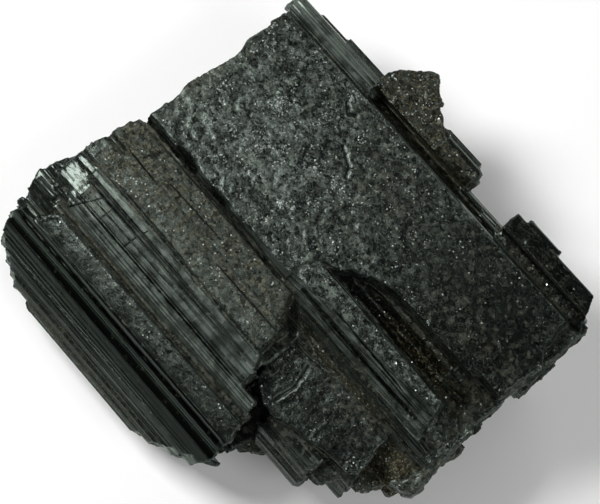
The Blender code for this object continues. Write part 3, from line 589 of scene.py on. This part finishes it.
def drawnTogether(mesh, name):
    # The net thinned to the chunk's number of triangles, kept finest on the upper side.
    obj = bpy.data.objects.new(name, mesh)
    bpy.context.scene.collection.objects.link(obj)
    upper = obj.vertex_groups.new(name="upper")
    for vertex in mesh.vertices:
        if vertex.normal.z > -0.25 and vertex.co.z > chunk["upperFrom"] * mm:
            upper.add([vertex.index], chunk["topWeight"], "REPLACE")
    count = sum(len(face.vertices) - 2 for face in mesh.polygons)
    thinned = obj.modifiers.new("thinned", "DECIMATE")
    thinned.decimate_type = "COLLAPSE"
    thinned.ratio = min(1.0, chunk["triangles"] / count)
    thinned.vertex_group = "upper"
    thinned.invert_vertex_group = True
    thinned.vertex_group_factor = chunk["topShare"]
    thinned.use_collapse_triangulate = True
    result = evaluated(obj)
    bpy.data.objects.remove(obj)
    for vertex in result.vertices:
        for axis in range(3):           # the relief stays inside the CAD model's box
            vertex.co[axis] = min(max(vertex.co[axis], cadBox[0][axis]), cadBox[1][axis])
        if vertex.co.z < 0.05 * mm:
            vertex.co.z = 0.0
    print("net of", count, "triangles thinned to", len(result.polygons))
    return result


# Where dust and stains lie.

# How pale each crystal is with weather and with painted light and sheen, how dusty and rusty, and how much
# painted shade darkens it, from 0 to 1; the others have the plain look.
looks = dict(
    plate=(0.32, 0.1, 0.03, 0), step1=(0.1, 0.6, 0.06, 0), step2=(0.14, 0.6, 0.08, 0),
    step3=(0.14, 0.44, 0.05, 0), face1=(0.85, 0.12, 0.03, 0), face2=(0.9, 0.08, 0.03, 0),
    face3=(0.75, 0.12, 0.03, 0), grooveFloor=(0.1, 0.35, 0.25, 0), pittedBand=(0.2, 0.2, 0.03, 0),
    stainedLedge=(0.02, 0.1, 0.5, 0.6), stainedSlope=(0.08, 0.15, 0.5, 0.4),
    longRib=(0.1, 0.15, 0.1, 0), ridge=(0.6, 0.08, 0.02, 0), lowerPlate=(0.26, 0.1, 0.04, 0.25),
    lowerBlade=(0.22, 0.25, 0.12, 0), lowerSkirt=(0.22, 0.25, 0.12, 0), brownFoot=(0.2, 0.5, 0.4, 0),
    knob1=(0.25, 0.35, 0.25, 0), knob2=(0.3, 0.4, 0.45, 0), endShelf=(0.2, 0.35, 0.6, 0),
    endWall=(0.34, 0.35, 0.05, 0.3), endBulge=(0.3, 0.45, 0.25, 0), endRim=(0.4, 0.45, 0.15, 0),
    cornerBlock=(0, 0.1, 0.16, 0.7), cornerShelf=(0.1, 0.3, 0.35, 0.4), tipBlock=(0.3, 0.25, 0.55, 0.4),
    sideBlade=(0.12, 0.3, 0.45, 0.4), sideStep=(0.02, 0.12, 0.2, 0.6), face1Tip=(0.1, 0.02, 0, 0),
    face2Tip=(0.1, 0.02, 0, 0), face3Tip=(0.1, 0.02, 0, 0), innerStrip=(1, 0, 0, 0),
    outerStrip=(1, 0, 0, 0), glossy1=(0, 0, 0, 0.7), glossy2=(0, 0, 0, 0.9), glossy3=(0.1, 0, 0, 0.8),
    glossy4=(0.14, 0.04, 0.02, 0.7), glossy5=(0.1, 0.1, 0.05, 0.6), glossy6=(0.1, 0.25, 0.3, 0.5),
    glossy7=(0.1, 0.3, 0.35, 0.5),
)
plainLook = (0.12, 0.15, 0.05, 0)

hollows = dict(rounds=60, depth=0.45)       # how far the net is evened out to find them, and a deep one

# Soft patches on the upper side that add to those: middle (x, y), reach along and across, amount.
patches = dict(
    # Painted light: lighter towards -x and darker towards +x on the plate and the left side, and a painted
    # sheen band along the glossy side at y -29.8.
    paleAndPaintedLight=[
        (-15, 7, 9, 7, 0.30), (-9, 4, 6, 5, 0.26), (-20, 16, 11, 9, 0.34),
        (-24, 3, 6, 6, 0.10), (2, 10, 9, 8, 0.02), (14, 18, 10, 6, -0.10),
        (25, 15, 9, 12, -0.30), (17, 10, 10, 6, -0.18), (30, 8, 6, 7, -0.20),
        (-1, -11.5, 9, 4, 0.14), (-22, -16.5, 8, 3, 0.14), (6, -17, 8, 3, -0.12),
        (8, -0.5, 8, 3, 0.14), (24, -3, 8, 3, -0.10), (20, -12, 8, 5, -0.10),
        (-20, -23, 8, 3, 0.10), (8, -23, 8, 3, -0.10), (-6, -29.8, 14, 1.6, 0.22),
        (15, -12, 9, 5, -0.12)],
    dust=[
        (-29, 8, 2.2, 12, 0.55), (0, 17, 9, 7, 0.16), (-24, -7, 8, 4, 0.12),
        (-27, -16, 2.5, 5, 0.30), (22, 11, 9, 3, 0.12), (32, 10, 3, 8, 0.15),
        (2, -18, 6, 3, -0.12), (-10, 22, 8, 3, 0.14), (20, -6.5, 8, 3, 0.20)],
    rust=[
        (2, 16, 9, 6, 0.16), (22, 5, 8, 4, 0.20), (26, 11, 8, 3, 0.16),
        (14, -6.5, 8, 3, 0.15), (31, -9, 4, 4, 0.25), (-16, -20.8, 14, 1.6, 0.20),
        (-29, 8, 2, 12, 0.12), (-21, -3.6, 3, 1.2, 0.3), (8, 3, 8, 3, -0.35)],
    # Painted shade: darker and less reflective towards the far end, over the trough, along the right side and
    # in a band on the glossy side; less of it along the sheen band below.
    paintedShade=[
        (29, 9, 7, 9, 0.35), (30, 17, 5, 6, 0.30), (18, 3, 12, 3, 0.55),
        (20, 21.5, 10, 1.4, 0.4), (-17, -26.6, 9, 1.2, 0.4),
        (-6, -30.2, 14, 0.8, -0.4)],
)


def writeMask(mesh, name, values):
    mask = mesh.attributes.new(name, "FLOAT", "POINT")
    mask.data.foreach_set("value", np.clip(values, 0, 1).astype(np.float32))


def writeMasks(mesh, points, faces, kinds, owners, rows):
    finder = BVHTree.FromPolygons(points, faces)
    nearest = [finder.find_nearest(vertex.co)[2] for vertex in mesh.vertices]
    kind = np.array([kinds[i] for i in nearest])
    look = [looks.get(rows[owners[i]]["name"], plainLook) for i in nearest]
    pairs = edgesOf(mesh)
    places, normals = placesOf(mesh), placesOf(mesh, "normal")
    x, y = places[:, 0] / mm - chunk["shift"][0], places[:, 1] / mm - chunk["shift"][1]
    upper = np.clip((places[:, 2] / mm - chunk["upperFrom"]) / 6.0, 0, 1)
    upper = upper * np.clip(normals[:, 2] * 2 + 0.4, 0, 1)
    # Where the slots lie on the upper side, for the shade painted in them.
    writeMask(mesh, "paintedSlotShade", furrowDepths(places)[1] * upper)
    writeMask(mesh, "pitted", averaged((kind == pitted).astype(float), pairs, 2))
    writeMask(mesh, "broken", averaged((kind == broken).astype(float), pairs, 2))
    # The first of these masks also carries painted light and sheen, the last painted shade.
    for index, name in enumerate(("paleAndPaintedLight", "dust", "rust", "paintedShade")):
        level = averaged(np.array([row[index] for row in look]), pairs, 4)
        for midX, midY, along, across, amount in patches[name]:
            level += upper * amount * np.exp(-((x - midX) / along) ** 2 - ((y - midY) / across) ** 2)
        writeMask(mesh, name, level)
    mean = np.stack([averaged(places[:, k], pairs, hollows["rounds"]) for k in range(3)], axis=1)
    sunk = ((mean - places) * normals).sum(axis=1) / mm
    writeMask(mesh, "hollow", 0.5 + 0.5 * sunk / hollows["depth"])      # 0.5 is flat, 1 is deep in a hollow


# Shading helpers.

def feed(tree, socket, value):
    if isinstance(value, bpy.types.NodeSocket):
        tree.links.new(value, socket)
    else:
        socket.default_value = value


def addNode(tree, kind, inputs=None, **settings):
    made = tree.nodes.new("ShaderNode" + kind)
    for name, value in settings.items():
        setattr(made, name, value)
    for name, value in (inputs or {}).items():
        feed(tree, made.inputs[name], value)
    return made


def sums(tree, operation, a, b=0.0, c=0.0, clamp=False):
    made = addNode(tree, "Math", operation=operation, use_clamp=clamp)
    for socket, value in zip(made.inputs, (a, b, c)):
        feed(tree, socket, value)
    return made.outputs[0]


def times(tree, a, b, clamp=False):
    return sums(tree, "MULTIPLY", a, b, clamp=clamp)


def scaled(tree, a, by, plus, clamp=False):
    return sums(tree, "MULTIPLY_ADD", a, by, plus, clamp)


def largest(tree, a, b):
    return sums(tree, "MAXIMUM", a, b)


def vectorSums(tree, operation, a, b=(0.0, 0.0, 0.0)):
    made = addNode(tree, "VectorMath", operation=operation)
    feed(tree, made.inputs[0], a)
    if operation != "NORMALIZE":
        feed(tree, made.inputs["Scale"] if operation == "SCALE" else made.inputs[1], b)
    return made.outputs["Value" if operation == "DOT_PRODUCT" else "Vector"]


def part(tree, vector, index):
    return addNode(tree, "SeparateXYZ", {"Vector": vector}).outputs[index]


def perSize(tree, place, size):
    return vectorSums(tree, "SCALE", place, sums(tree, "DIVIDE", 1.0, size))


def clouds(tree, where, scale=1.0, detail=2.0, roughness=0.5):
    return addNode(tree, "TexNoise", {"Vector": where, "Scale": scale, "Detail": detail,
                                      "Roughness": roughness}).outputs


def cellsOf(tree, where):
    return addNode(tree, "TexVoronoi", {"Vector": where, "Scale": 1.0}, feature="F1").outputs


def eased(tree, value, low, high):
    # 0 below low, 1 above high and a soft step between them.
    made = addNode(tree, "MapRange", {"Value": value, "From Min": low, "From Max": high},
                   interpolation_type="SMOOTHSTEP")
    return made.outputs["Result"]


def blended(tree, share, a, b):
    made = addNode(tree, "Mix", data_type="RGBA")
    for index, value in ((0, share), (6, a), (7, b)):       # factor and the two colours
        feed(tree, made.inputs[index], value)
    return made.outputs[2]


def newGroup(name, inputs, outputs):
    tree = bpy.data.node_groups.new(name, "ShaderNodeTree")
    for label, kind in inputs.items():
        tree.interface.new_socket(label, in_out="INPUT", socket_type="NodeSocket" + kind)
    for label, kind in outputs.items():
        tree.interface.new_socket(label, in_out="OUTPUT", socket_type="NodeSocket" + kind)
    return tree, tree.nodes.new("NodeGroupInput").outputs, tree.nodes.new("NodeGroupOutput").inputs


def useGroup(tree, group, **inputs):
    made = addNode(tree, "Group", node_tree=group)
    for name, value in inputs.items():
        feed(tree, made.inputs[name], value)
    return made.outputs


# Effects, each made once and placed with its own values.

def striaGroup():
    # Fine lines along the crystals, the narrow dark grooves among them and the small steps down a side.
    tree, given, out = newGroup("striaLines", {"Place": "Vector", "Spacing": "Float", "Run": "Float"},
                                {"Height": "Float", "Grooves": "Float", "Steps": "Float"})
    drawnOut = {axis: sums(tree, "DIVIDE", part(tree, given["Place"], index), given[unit])
                for index, (axis, unit) in enumerate((("X", "Run"), ("Y", "Spacing"), ("Z", "Spacing")))}
    where = addNode(tree, "CombineXYZ", drawnOut).outputs[0]
    deep = clouds(tree, vectorSums(tree, "ADD", where, (3.7, 8.1, 5.3)), detail=0.0)[0]
    feed(tree, out["Height"], clouds(tree, where, detail=2.0, roughness=0.55)[0])
    feed(tree, out["Grooves"], eased(tree, deep, 0.64, 0.70))
    feed(tree, out["Steps"], sums(tree, "FRACT", scaled(tree, deep, 4.0, part(tree, where, 2))))
    return tree


def grainGroup():
    # The granular skin of a growth surface: its height, its pits and a shade of its own for each grain.
    tree, given, out = newGroup("growthGrain", {"Place": "Vector", "Size": "Float"},
                                {"Height": "Float", "Pits": "Float", "Tone": "Float"})
    where = perSize(tree, given["Place"], given["Size"])
    bumps = clouds(tree, where, 0.9, 3.0, 0.65)
    bent = vectorSums(tree, "ADD", where, vectorSums(tree, "SCALE", bumps["Color"], 1.6))
    tone = part(tree, cellsOf(tree, bent)["Color"], 0)
    feed(tree, out["Height"], scaled(tree, tone, 0.25, bumps[0]))
    feed(tree, out["Pits"], eased(tree, bumps[0], 0.46, 0.30))
    feed(tree, out["Tone"], tone)
    return tree


def lineGroup():
    # One hairline crack on the upper side, from one place to another, thinning out at both.
    tree, given, out = newGroup("hairline", {"Place": "Vector", "From": "Vector", "To": "Vector",
                                             "Width": "Float"}, {"Mask": "Float"})
    way = vectorSums(tree, "SUBTRACT", given["To"], given["From"])
    start = vectorSums(tree, "SUBTRACT", given["Place"], given["From"])
    start = vectorSums(tree, "MULTIPLY", start, (1.0, 1.0, 0.0))
    length = vectorSums(tree, "DOT_PRODUCT", way, way)
    share = sums(tree, "DIVIDE", vectorSums(tree, "DOT_PRODUCT", start, way), length, clamp=True)
    off = vectorSums(tree, "SUBTRACT", start, vectorSums(tree, "SCALE", way, share))
    distance = sums(tree, "SQRT", vectorSums(tree, "DOT_PRODUCT", off, off))
    wander = sums(tree, "SUBTRACT", clouds(tree, given["Place"], 0.9, 2.0)[0], 0.5)
    distance = sums(tree, "ADD", distance, times(tree, wander, 0.22))
    narrow = times(tree, given["Width"], eased(tree, sums(tree, "PINGPONG", share, 0.5), 0.0, 0.12))
    feed(tree, out["Mask"], eased(tree, sums(tree, "SUBTRACT", narrow, distance), -0.07, 0.03))
    return tree


def glintGroup():
    # Tiny crystal faces that each point their own way: a new normal there, and a mask of where they are.
    tree, given, out = newGroup("glints", {"Place": "Vector", "Size": "Float", "Share": "Float",
                                           "Tilt": "Float", "Normal": "Vector"},
                                {"Normal": "Vector", "Mask": "Float"})
    where = perSize(tree, given["Place"], given["Size"])
    ragged = clouds(tree, where, 1.3, 2.0)["Color"]
    cells = cellsOf(tree, vectorSums(tree, "ADD", where, vectorSums(tree, "SCALE", ragged, 1.3)))
    chance = addNode(tree, "TexWhiteNoise", {"Vector": cells["Position"]}, noise_dimensions="3D")
    chosen = sums(tree, "LESS_THAN", chance.outputs["Value"], given["Share"])
    inside = sums(tree, "LESS_THAN", cells["Distance"], 0.55)
    strength = scaled(tree, part(tree, cells["Color"], 1), 0.8, 0.2)
    mask = times(tree, times(tree, chosen, inside), strength)
    turned = vectorSums(tree, "SUBTRACT", cells["Color"], (0.5, 0.5, 0.5))
    turned = vectorSums(tree, "SCALE", turned, times(tree, given["Tilt"], mask))
    feed(tree, out["Normal"], vectorSums(tree, "NORMALIZE", vectorSums(tree, "ADD", given["Normal"], turned)))
    feed(tree, out["Mask"], mask)
    return tree


def veilGroup():
    # A film that gathers in hollows and thins out in patches.
    tree, given, out = newGroup("veil", {"Place": "Vector", "Size": "Float", "Amount": "Float",
                                         "Hollow": "Float", "Gather": "Float", "Patchy": "Float"},
                                {"Mask": "Float"})
    cloud = clouds(tree, perSize(tree, given["Place"], given["Size"]), 1.0, 5.0, 0.7)[0]
    level = scaled(tree, sums(tree, "SUBTRACT", cloud, 0.5), given["Patchy"], given["Amount"])
    level = scaled(tree, sums(tree, "SUBTRACT", given["Hollow"], 0.5), given["Gather"], level)
    feed(tree, out["Mask"], eased(tree, level, 0.10, 0.90))
    return tree


# The mineral.

schorl = dict(
    black=(0.0030, 0.0038, 0.0033, 1.0),
    greyAndPaintedLight=(0.0950, 0.1130, 0.0990, 1.0),         # what the weathered grains, and the painted light and sheen, lighten towards
    dust=(0.0430, 0.0420, 0.0290, 1.0),
    stain=(0.0120, 0.0105, 0.0058, 1.0),        # the brown film under the golden specks
    rust=(0.1500, 0.1220, 0.0640, 1.0),
    # a painted highlight on the glint cells
    paintedGlint=(0.5200, 0.5600, 0.5200, 1.0),
    # painted shade in pits, grooves and slots, and the colour of the hairline cracks
    crackAndPaintedShade=(0.0020, 0.0022, 0.0018, 1.0),
    ior=1.46,
    sheen=(0.84, 1.0, 0.88, 1.0),               # reflections are a little green
)

# Relief too fine for the net, in millimetres: how far apart, how long and how large it is, and how high.
fineRelief = dict(
    threads=dict(Spacing=0.16, Run=40.0), threadHeight=0.010,
    ribs=dict(Spacing=0.46, Run=80.0), ribHeight=0.035,
    grooveDepth=0.03, stepDepth=0.05,
    stepFacing=(0.92, 0.70),                    # the steps come in where a face turns this far from level
    skin=dict(Size=0.62), skinHeight=0.07,
    fine=dict(Size=0.26), fineHeight=0.034,
    splinterHeight=0.06,
    onFaces=0.10,                               # share of the grain that the smooth faces keep
    wherePaintedShade=0.80, underDust=0.6,               # how much of the relief goes there
    crackDepth=0.12, crackFacing=(0.15, 0.5),
)

# Pale weathered grains on the rough faces and painted sheen streaks along the smooth ones: how they are
# mixed, sharpened and lifted, and the patches that they come in.
weatheringAndPaintedSheen = dict(
    patches=(0.42, 3.0, 0.36, 0.66), patchShare=0.9, everywhere=0.25,
    largeGrains=0.55, smallGrains=0.45, grainGain=4.2, grainPower=3.0,
    streakGain=22.0, ribPower=3.0, threadPower=2.0,
)

# The films: their size, how they gather in hollows and how patchy they are, and how well they cover.
films = dict(
    dust=dict(Size=1.1, Gather=0.5, Patchy=2.6), dustCover=0.85, dustGrain=3.6, dustBase=0.12,
    stain=dict(Size=1.6, Gather=0.6, Patchy=1.6), stainCover=0.9,
    specks=dict(Size=0.34, Hollow=0.5, Gather=0.0, Patchy=4.2), speckShare=0.75, speckStart=-0.38,
    # painted shade: how dark the grooves go, where the shade in the slots starts and ends, and how fully it
    # and the cracks cover
    grooveShade=0.7, paintedSlotShadeEdge=(0.15, 0.75), paintedShadeAndCrackCover=0.85,
)

# Glints gather on the palest rough faces; their cells tilt the normal and are also painted a pale highlight
# colour.
sparkle = dict(patches=(0.34, 3.0, 0.48, 0.66), gathered=0.44, stained=0.05, everywhere=0.003,
               size=0.24, tilt=1.0, colour=0.70)

# How rough each surface is, and how much the places under painted shade and the pits, where shade is painted
# too, reflect less.
polish = dict(faces=0.12, rough=0.10, broken=0.22, dust=0.85, stain=0.10, patches=0.08, glints=0.6,
              underPaintedShade=0.80, pits=0.75)

# Hairline cracks: from (x, y) to (x, y) in the chunk's layout, and half their width.
hairlines = [
    (-27.5, -8.4, -21.5, -8.6, 0.10), (-20.5, -7.2, -9, -7, 0.07), (-6.5, -9.7, 6, -9.6, 0.11),
    (-25.5, -12.7, -9.5, -12.8, 0.11), (-30, -14.6, -5, -14.7, 0.09), (-29, -15.4, 6.5, -15.5, 0.12),
    (-25, -16.7, -9, -16.6, 0.07), (-27.5, -18.1, 8, -18.2, 0.12), (-24.6, -15.2, -25.7, -17.2, 0.09),
    (-25.7, -17.2, -27.4, -20, 0.09), (-17.3, -15.4, -17.5, -18, 0.09), (-17.1, -14.8, -16.8, -13.8, 0.08),
    (-22.7, -15.6, -22.9, -17.9, 0.07), (18.6, -8.4, 19.6, -12, 0.09), (-29, -29.6, 2, -29.5, 0.09),
    (9, -1.6, 24, -1.7, 0.09),
]


def crackMask(tree, place):
    hairline = lineGroup()
    cracks = 0.0
    for fromX, fromY, toX, toY, width in hairlines:
        start, stop = toFrame(fromX, fromY, 0.0) / mm, toFrame(toX, toY, 0.0) / mm
        line = useGroup(tree, hairline, Place=place, From=(start.x, start.y, 0.0), To=(stop.x, stop.y, 0.0),
                        Width=width)
        cracks = largest(tree, cracks, line["Mask"])
    return cracks


def schorlMaterial():
    material = bpy.data.materials.new("schorl")
    material.use_nodes = True
    tree = material.node_tree
    shader = tree.nodes["Principled BSDF"]
    stria, grain, glints, veil = striaGroup(), grainGroup(), glintGroup(), veilGroup()
    place = vectorSums(tree, "SCALE", addNode(tree, "TexCoord").outputs["Object"], 1.0 / mm)
    facing = part(tree, addNode(tree, "NewGeometry").outputs["Normal"], 2)

    def mask(name):
        return addNode(tree, "Attribute", attribute_name=name).outputs["Fac"]

    def patchesOf(scale, detail, low, high):
        return eased(tree, clouds(tree, place, scale, detail, 0.62)[0], low, high)

    asBroken, hollow, paleAndPaintedLight, rust, paintedShade = (mask(name) for name in ("broken", "hollow", "paleAndPaintedLight", "rust", "paintedShade"))
    rough = largest(tree, mask("pitted"), asBroken)
    smooth = sums(tree, "SUBTRACT", 1.0, rough, clamp=True)

    # the relief
    r = fineRelief
    threads = useGroup(tree, stria, Place=place, **r["threads"])
    ribs = useGroup(tree, stria, Place=place, **r["ribs"])
    skin = useGroup(tree, grain, Place=place, **r["skin"])
    fine = useGroup(tree, grain, Place=place, **r["fine"])
    grooves = largest(tree, times(tree, threads["Grooves"], 0.5), ribs["Grooves"])
    lines = scaled(tree, threads["Height"], r["threadHeight"], times(tree, ribs["Height"], r["ribHeight"]))
    lines = scaled(tree, grooves, -r["grooveDepth"], lines)
    steps = times(tree, ribs["Steps"], eased(tree, facing, *r["stepFacing"]))
    lines = scaled(tree, steps, -r["stepDepth"], lines)
    lines = times(tree, lines, scaled(tree, paintedShade, -r["wherePaintedShade"], 1.0))
    pits = scaled(tree, skin["Height"], r["skinHeight"], times(tree, fine["Height"], r["fineHeight"]))
    pits = scaled(tree, times(tree, skin["Tone"], asBroken), r["splinterHeight"], pits)
    grainShare = scaled(tree, rough, 1 - r["onFaces"], r["onFaces"])
    height = scaled(tree, pits, grainShare, times(tree, lines, smooth))
    height = times(tree, height, scaled(tree, mask("dust"), -r["underDust"], 1.0, clamp=True))
    cracks = times(tree, crackMask(tree, place), eased(tree, facing, *r["crackFacing"]))
    height = scaled(tree, cracks, -r["crackDepth"], height)
    bump = addNode(tree, "Bump", {"Strength": 1.0, "Distance": mm, "Height": height})

    # the weathered grains, and painted light: sheen streaks along the smooth faces and the lighter and darker
    # patches
    w = weatheringAndPaintedSheen
    patchy = patchesOf(*w["patches"])
    grains = scaled(tree, skin["Tone"], w["largeGrains"], times(tree, fine["Tone"], w["smallGrains"]))
    grains = times(tree, sums(tree, "POWER", grains, w["grainPower"]), w["grainGain"])
    paintedSheenStreaks = times(tree, sums(tree, "POWER", ribs["Height"], w["ribPower"]), w["streakGain"])
    paintedSheenStreaks = times(tree, paintedSheenStreaks, sums(tree, "POWER", threads["Height"], w["threadPower"]))
    level = scaled(tree, rough, sums(tree, "SUBTRACT", grains, paintedSheenStreaks), paintedSheenStreaks)
    level = times(tree, level, scaled(tree, patchy, w["patchShare"], w["everywhere"]))
    colour = blended(tree, times(tree, level, paleAndPaintedLight, clamp=True), schorl["black"], schorl["greyAndPaintedLight"])

    # dust, the brown film and its golden specks
    f = films
    shade = scaled(tree, times(tree, skin["Tone"], fine["Tone"]), f["dustGrain"], f["dustBase"])
    film = vectorSums(tree, "SCALE", schorl["dust"][:3], shade)
    dust = useGroup(tree, veil, Place=place, Amount=mask("dust"), Hollow=hollow, **f["dust"])["Mask"]
    colour = blended(tree, times(tree, dust, f["dustCover"]), colour, film)
    stained = useGroup(tree, veil, Place=place, Amount=rust, Hollow=hollow, **f["stain"])["Mask"]
    colour = blended(tree, times(tree, stained, f["stainCover"]), colour, schorl["stain"])
    amount = scaled(tree, rust, f["speckShare"], f["speckStart"])
    specks = useGroup(tree, veil, Place=place, Amount=amount, **f["specks"])["Mask"]
    colour = blended(tree, specks, colour, schorl["rust"])

    # painted shade in the pits, grooves and slots, and the dark hairline cracks, are the darkest
    paintedShadeAndCracks = times(tree, grooves, times(tree, smooth, f["grooveShade"]))
    paintedShadeAndCracks = largest(tree, paintedShadeAndCracks, times(tree, largest(tree, skin["Pits"], fine["Pits"]), rough))
    paintedShadeAndCracks = largest(tree, paintedShadeAndCracks, eased(tree, mask("paintedSlotShade"), *f["paintedSlotShadeEdge"]))
    paintedShadeAndCracks = largest(tree, paintedShadeAndCracks, cracks)
    colour = blended(tree, times(tree, paintedShadeAndCracks, f["paintedShadeAndCrackCover"]), colour, schorl["crackAndPaintedShade"])

    # glints: the facets tilt the normal, and their cells are painted a pale highlight colour
    s = sparkle
    share = scaled(tree, rust, s["stained"], s["everywhere"])
    share = scaled(tree, times(tree, patchesOf(*s["patches"]), paleAndPaintedLight), s["gathered"], share)
    sparks = useGroup(tree, glints, Place=place, Size=s["size"], Share=times(tree, share, rough),
                      Tilt=s["tilt"], Normal=bump.outputs[0])
    colour = blended(tree, times(tree, sparks["Mask"], s["colour"]), colour, schorl["paintedGlint"])
    feed(tree, shader.inputs["Base Color"], colour)
    feed(tree, shader.inputs["Normal"], sparks["Normal"])

    # a black that is partly metal reflects less than black glass, so the places with painted shade and the
    # pits stay dark: this paints shade there
    p = polish
    lustre = scaled(tree, paintedShade, -p["underPaintedShade"], 1.0)
    lustre = times(tree, lustre, scaled(tree, paintedShadeAndCracks, -p["pits"], 1.0))
    feed(tree, shader.inputs["Metallic"], sums(tree, "SUBTRACT", 1.0, lustre, clamp=True))
    gloss = p["faces"]
    for where, much in ((rough, "rough"), (asBroken, "broken"), (dust, "dust"), (stained, "stain"),
                        (sums(tree, "SUBTRACT", patchy, 0.5), "patches")):
        gloss = scaled(tree, where, p[much], gloss)
    gloss = times(tree, gloss, scaled(tree, sparks["Mask"], -p["glints"], 1.0), clamp=True)
    feed(tree, shader.inputs["Roughness"], gloss)
    shader.inputs["IOR"].default_value = schorl["ior"]
    shader.inputs["Specular Tint"].default_value = schorl["sheen"]
    return material


# Putting the chunk together.

def makeChunk():
    dice = random.Random(chunk["seed"])
    cutters = [block(cut) for cut in (trough, plateStart, plateEnd, deepStart, deepEnd)]
    stem = cutBy(prism(plate, dice), cutters)
    crystals = named(rightSide, leftSide, middle, farEnd) + undersideCrystals()
    blocks = [dict(row, pitted=True) for row in (tipBlock, lowerPlate, endRim)]
    objects = [prism(row, dice) for row in crystals] + [block(row) for row in blocks]
    rows = [plate] + crystals + blocks
    meshes = [stem] + [obj.data.copy() for obj in objects]
    for obj in objects:
        bpy.data.objects.remove(obj)
    points, faces, kinds, owners = grownTogether(meshes, rows)
    print("crystals:", len(rows))
    net = skinned(points, faces, chunk["netSize"] * (1.0))
    print("net drawn:", len(net.polygons), "faces")
    roughened(net, points, faces, kinds, [rows[i].get("calm", 1.0) for i in owners])
    body = drawnTogether(net, "body")
    writeMasks(body, points, faces, kinds, owners, rows)
    print("masks written")
    body.materials.clear()
    body.materials.append(schorlMaterial())
    body.shade_smooth()
    obj = bpy.data.objects.new("tourmalineChunk", body)
    bpy.context.scene.collection.objects.link(obj)
    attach(obj, "root")
    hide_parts("tourmaline_crystal")
    return obj


# Floor, light and camera.

studio = dict(
    floorSize=2.4,
    floorColour=(0.94, 0.94, 0.935, 1.0),
    horizon=(0.30, 0.33, 0.31, 1.0),
    zenith=(0.020, 0.022, 0.020, 1.0),
    lights=[                    # direction to the light, distance, sides, brightness
        dict(name="window", toward=(-0.57, -0.20, 0.80), distance=0.30, sides=(0.12, 0.125), bright=20.0),
        dict(name="softbox", toward=(-0.20, 0.76, 0.63), distance=0.50, sides=(0.28, 0.08), bright=6.0),
        dict(name="fill", toward=(0.72, 0.02, 0.70), distance=0.60, sides=(0.40, 0.40), bright=3.2),
    ],
    target=(-0.0005, 0.0, 0.024),
    azimuth=49.5,               # the way the camera looks from, in degrees
    elevation=75.0,
    distance=0.336,
    lens=144.0,
)


def makeFloor():
    bpy.ops.mesh.primitive_plane_add(size=studio["floorSize"])
    floor = bpy.context.object
    floor.name = "floor"
    material = bpy.data.materials.new("paleFloor")
    material.use_nodes = True
    tree = material.node_tree
    shader = tree.nodes["Principled BSDF"]
    drift = clouds(tree, addNode(tree, "TexCoord").outputs["Object"], 9.0, 3.0)[0]
    low = tuple(c * 0.94 for c in studio["floorColour"][:3]) + (1.0,)
    feed(tree, shader.inputs["Base Color"], blended(tree, drift, low, studio["floorColour"]))
    shader.inputs["Roughness"].default_value = 0.85
    floor.data.materials.append(material)


def makeLights():
    scene = bpy.context.scene
    world = bpy.data.worlds.new("studio")
    scene.world = world
    world.use_nodes = True
    tree = world.node_tree
    height = part(tree, addNode(tree, "TexCoord").outputs["Generated"], 2)
    sky = blended(tree, eased(tree, height, 0.0, 0.85), studio["horizon"], studio["zenith"])
    feed(tree, tree.nodes["Background"].inputs["Color"], sky)
    for row in studio["lights"]:
        lamp = bpy.data.lights.new(row["name"], "AREA")
        lamp.shape = "RECTANGLE"
        lamp.size, lamp.size_y = row["sides"]
        lamp.energy = row["bright"] * math.pi * lamp.size * lamp.size_y
        obj = bpy.data.objects.new(row["name"], lamp)
        scene.collection.objects.link(obj)
        toward = Vector(row["toward"]).normalized()
        obj.location = Vector(studio["target"]) + toward * row["distance"]
        obj.rotation_euler = toward.to_track_quat("Z", "Y").to_euler()
    scene.view_settings.view_transform = "Standard"


def makeCamera():
    lens = bpy.data.cameras.new("camera")
    lens.lens = studio["lens"]
    lens.clip_start = 0.01
    camera = bpy.data.objects.new("camera", lens)
    bpy.context.scene.collection.objects.link(camera)
    a, e = math.radians(studio["azimuth"]), math.radians(studio["elevation"])
    back = Vector((math.sin(a) * math.cos(e), -math.cos(a) * math.cos(e), math.sin(e)))
    camera.location = Vector(studio["target"]) + back * studio["distance"]
    camera.rotation_euler = (-back).to_track_quat("-Z", "Y").to_euler()
    bpy.context.scene.camera = camera


makeChunk()
makeFloor()
makeLights()
makeCamera()
print("stage set")
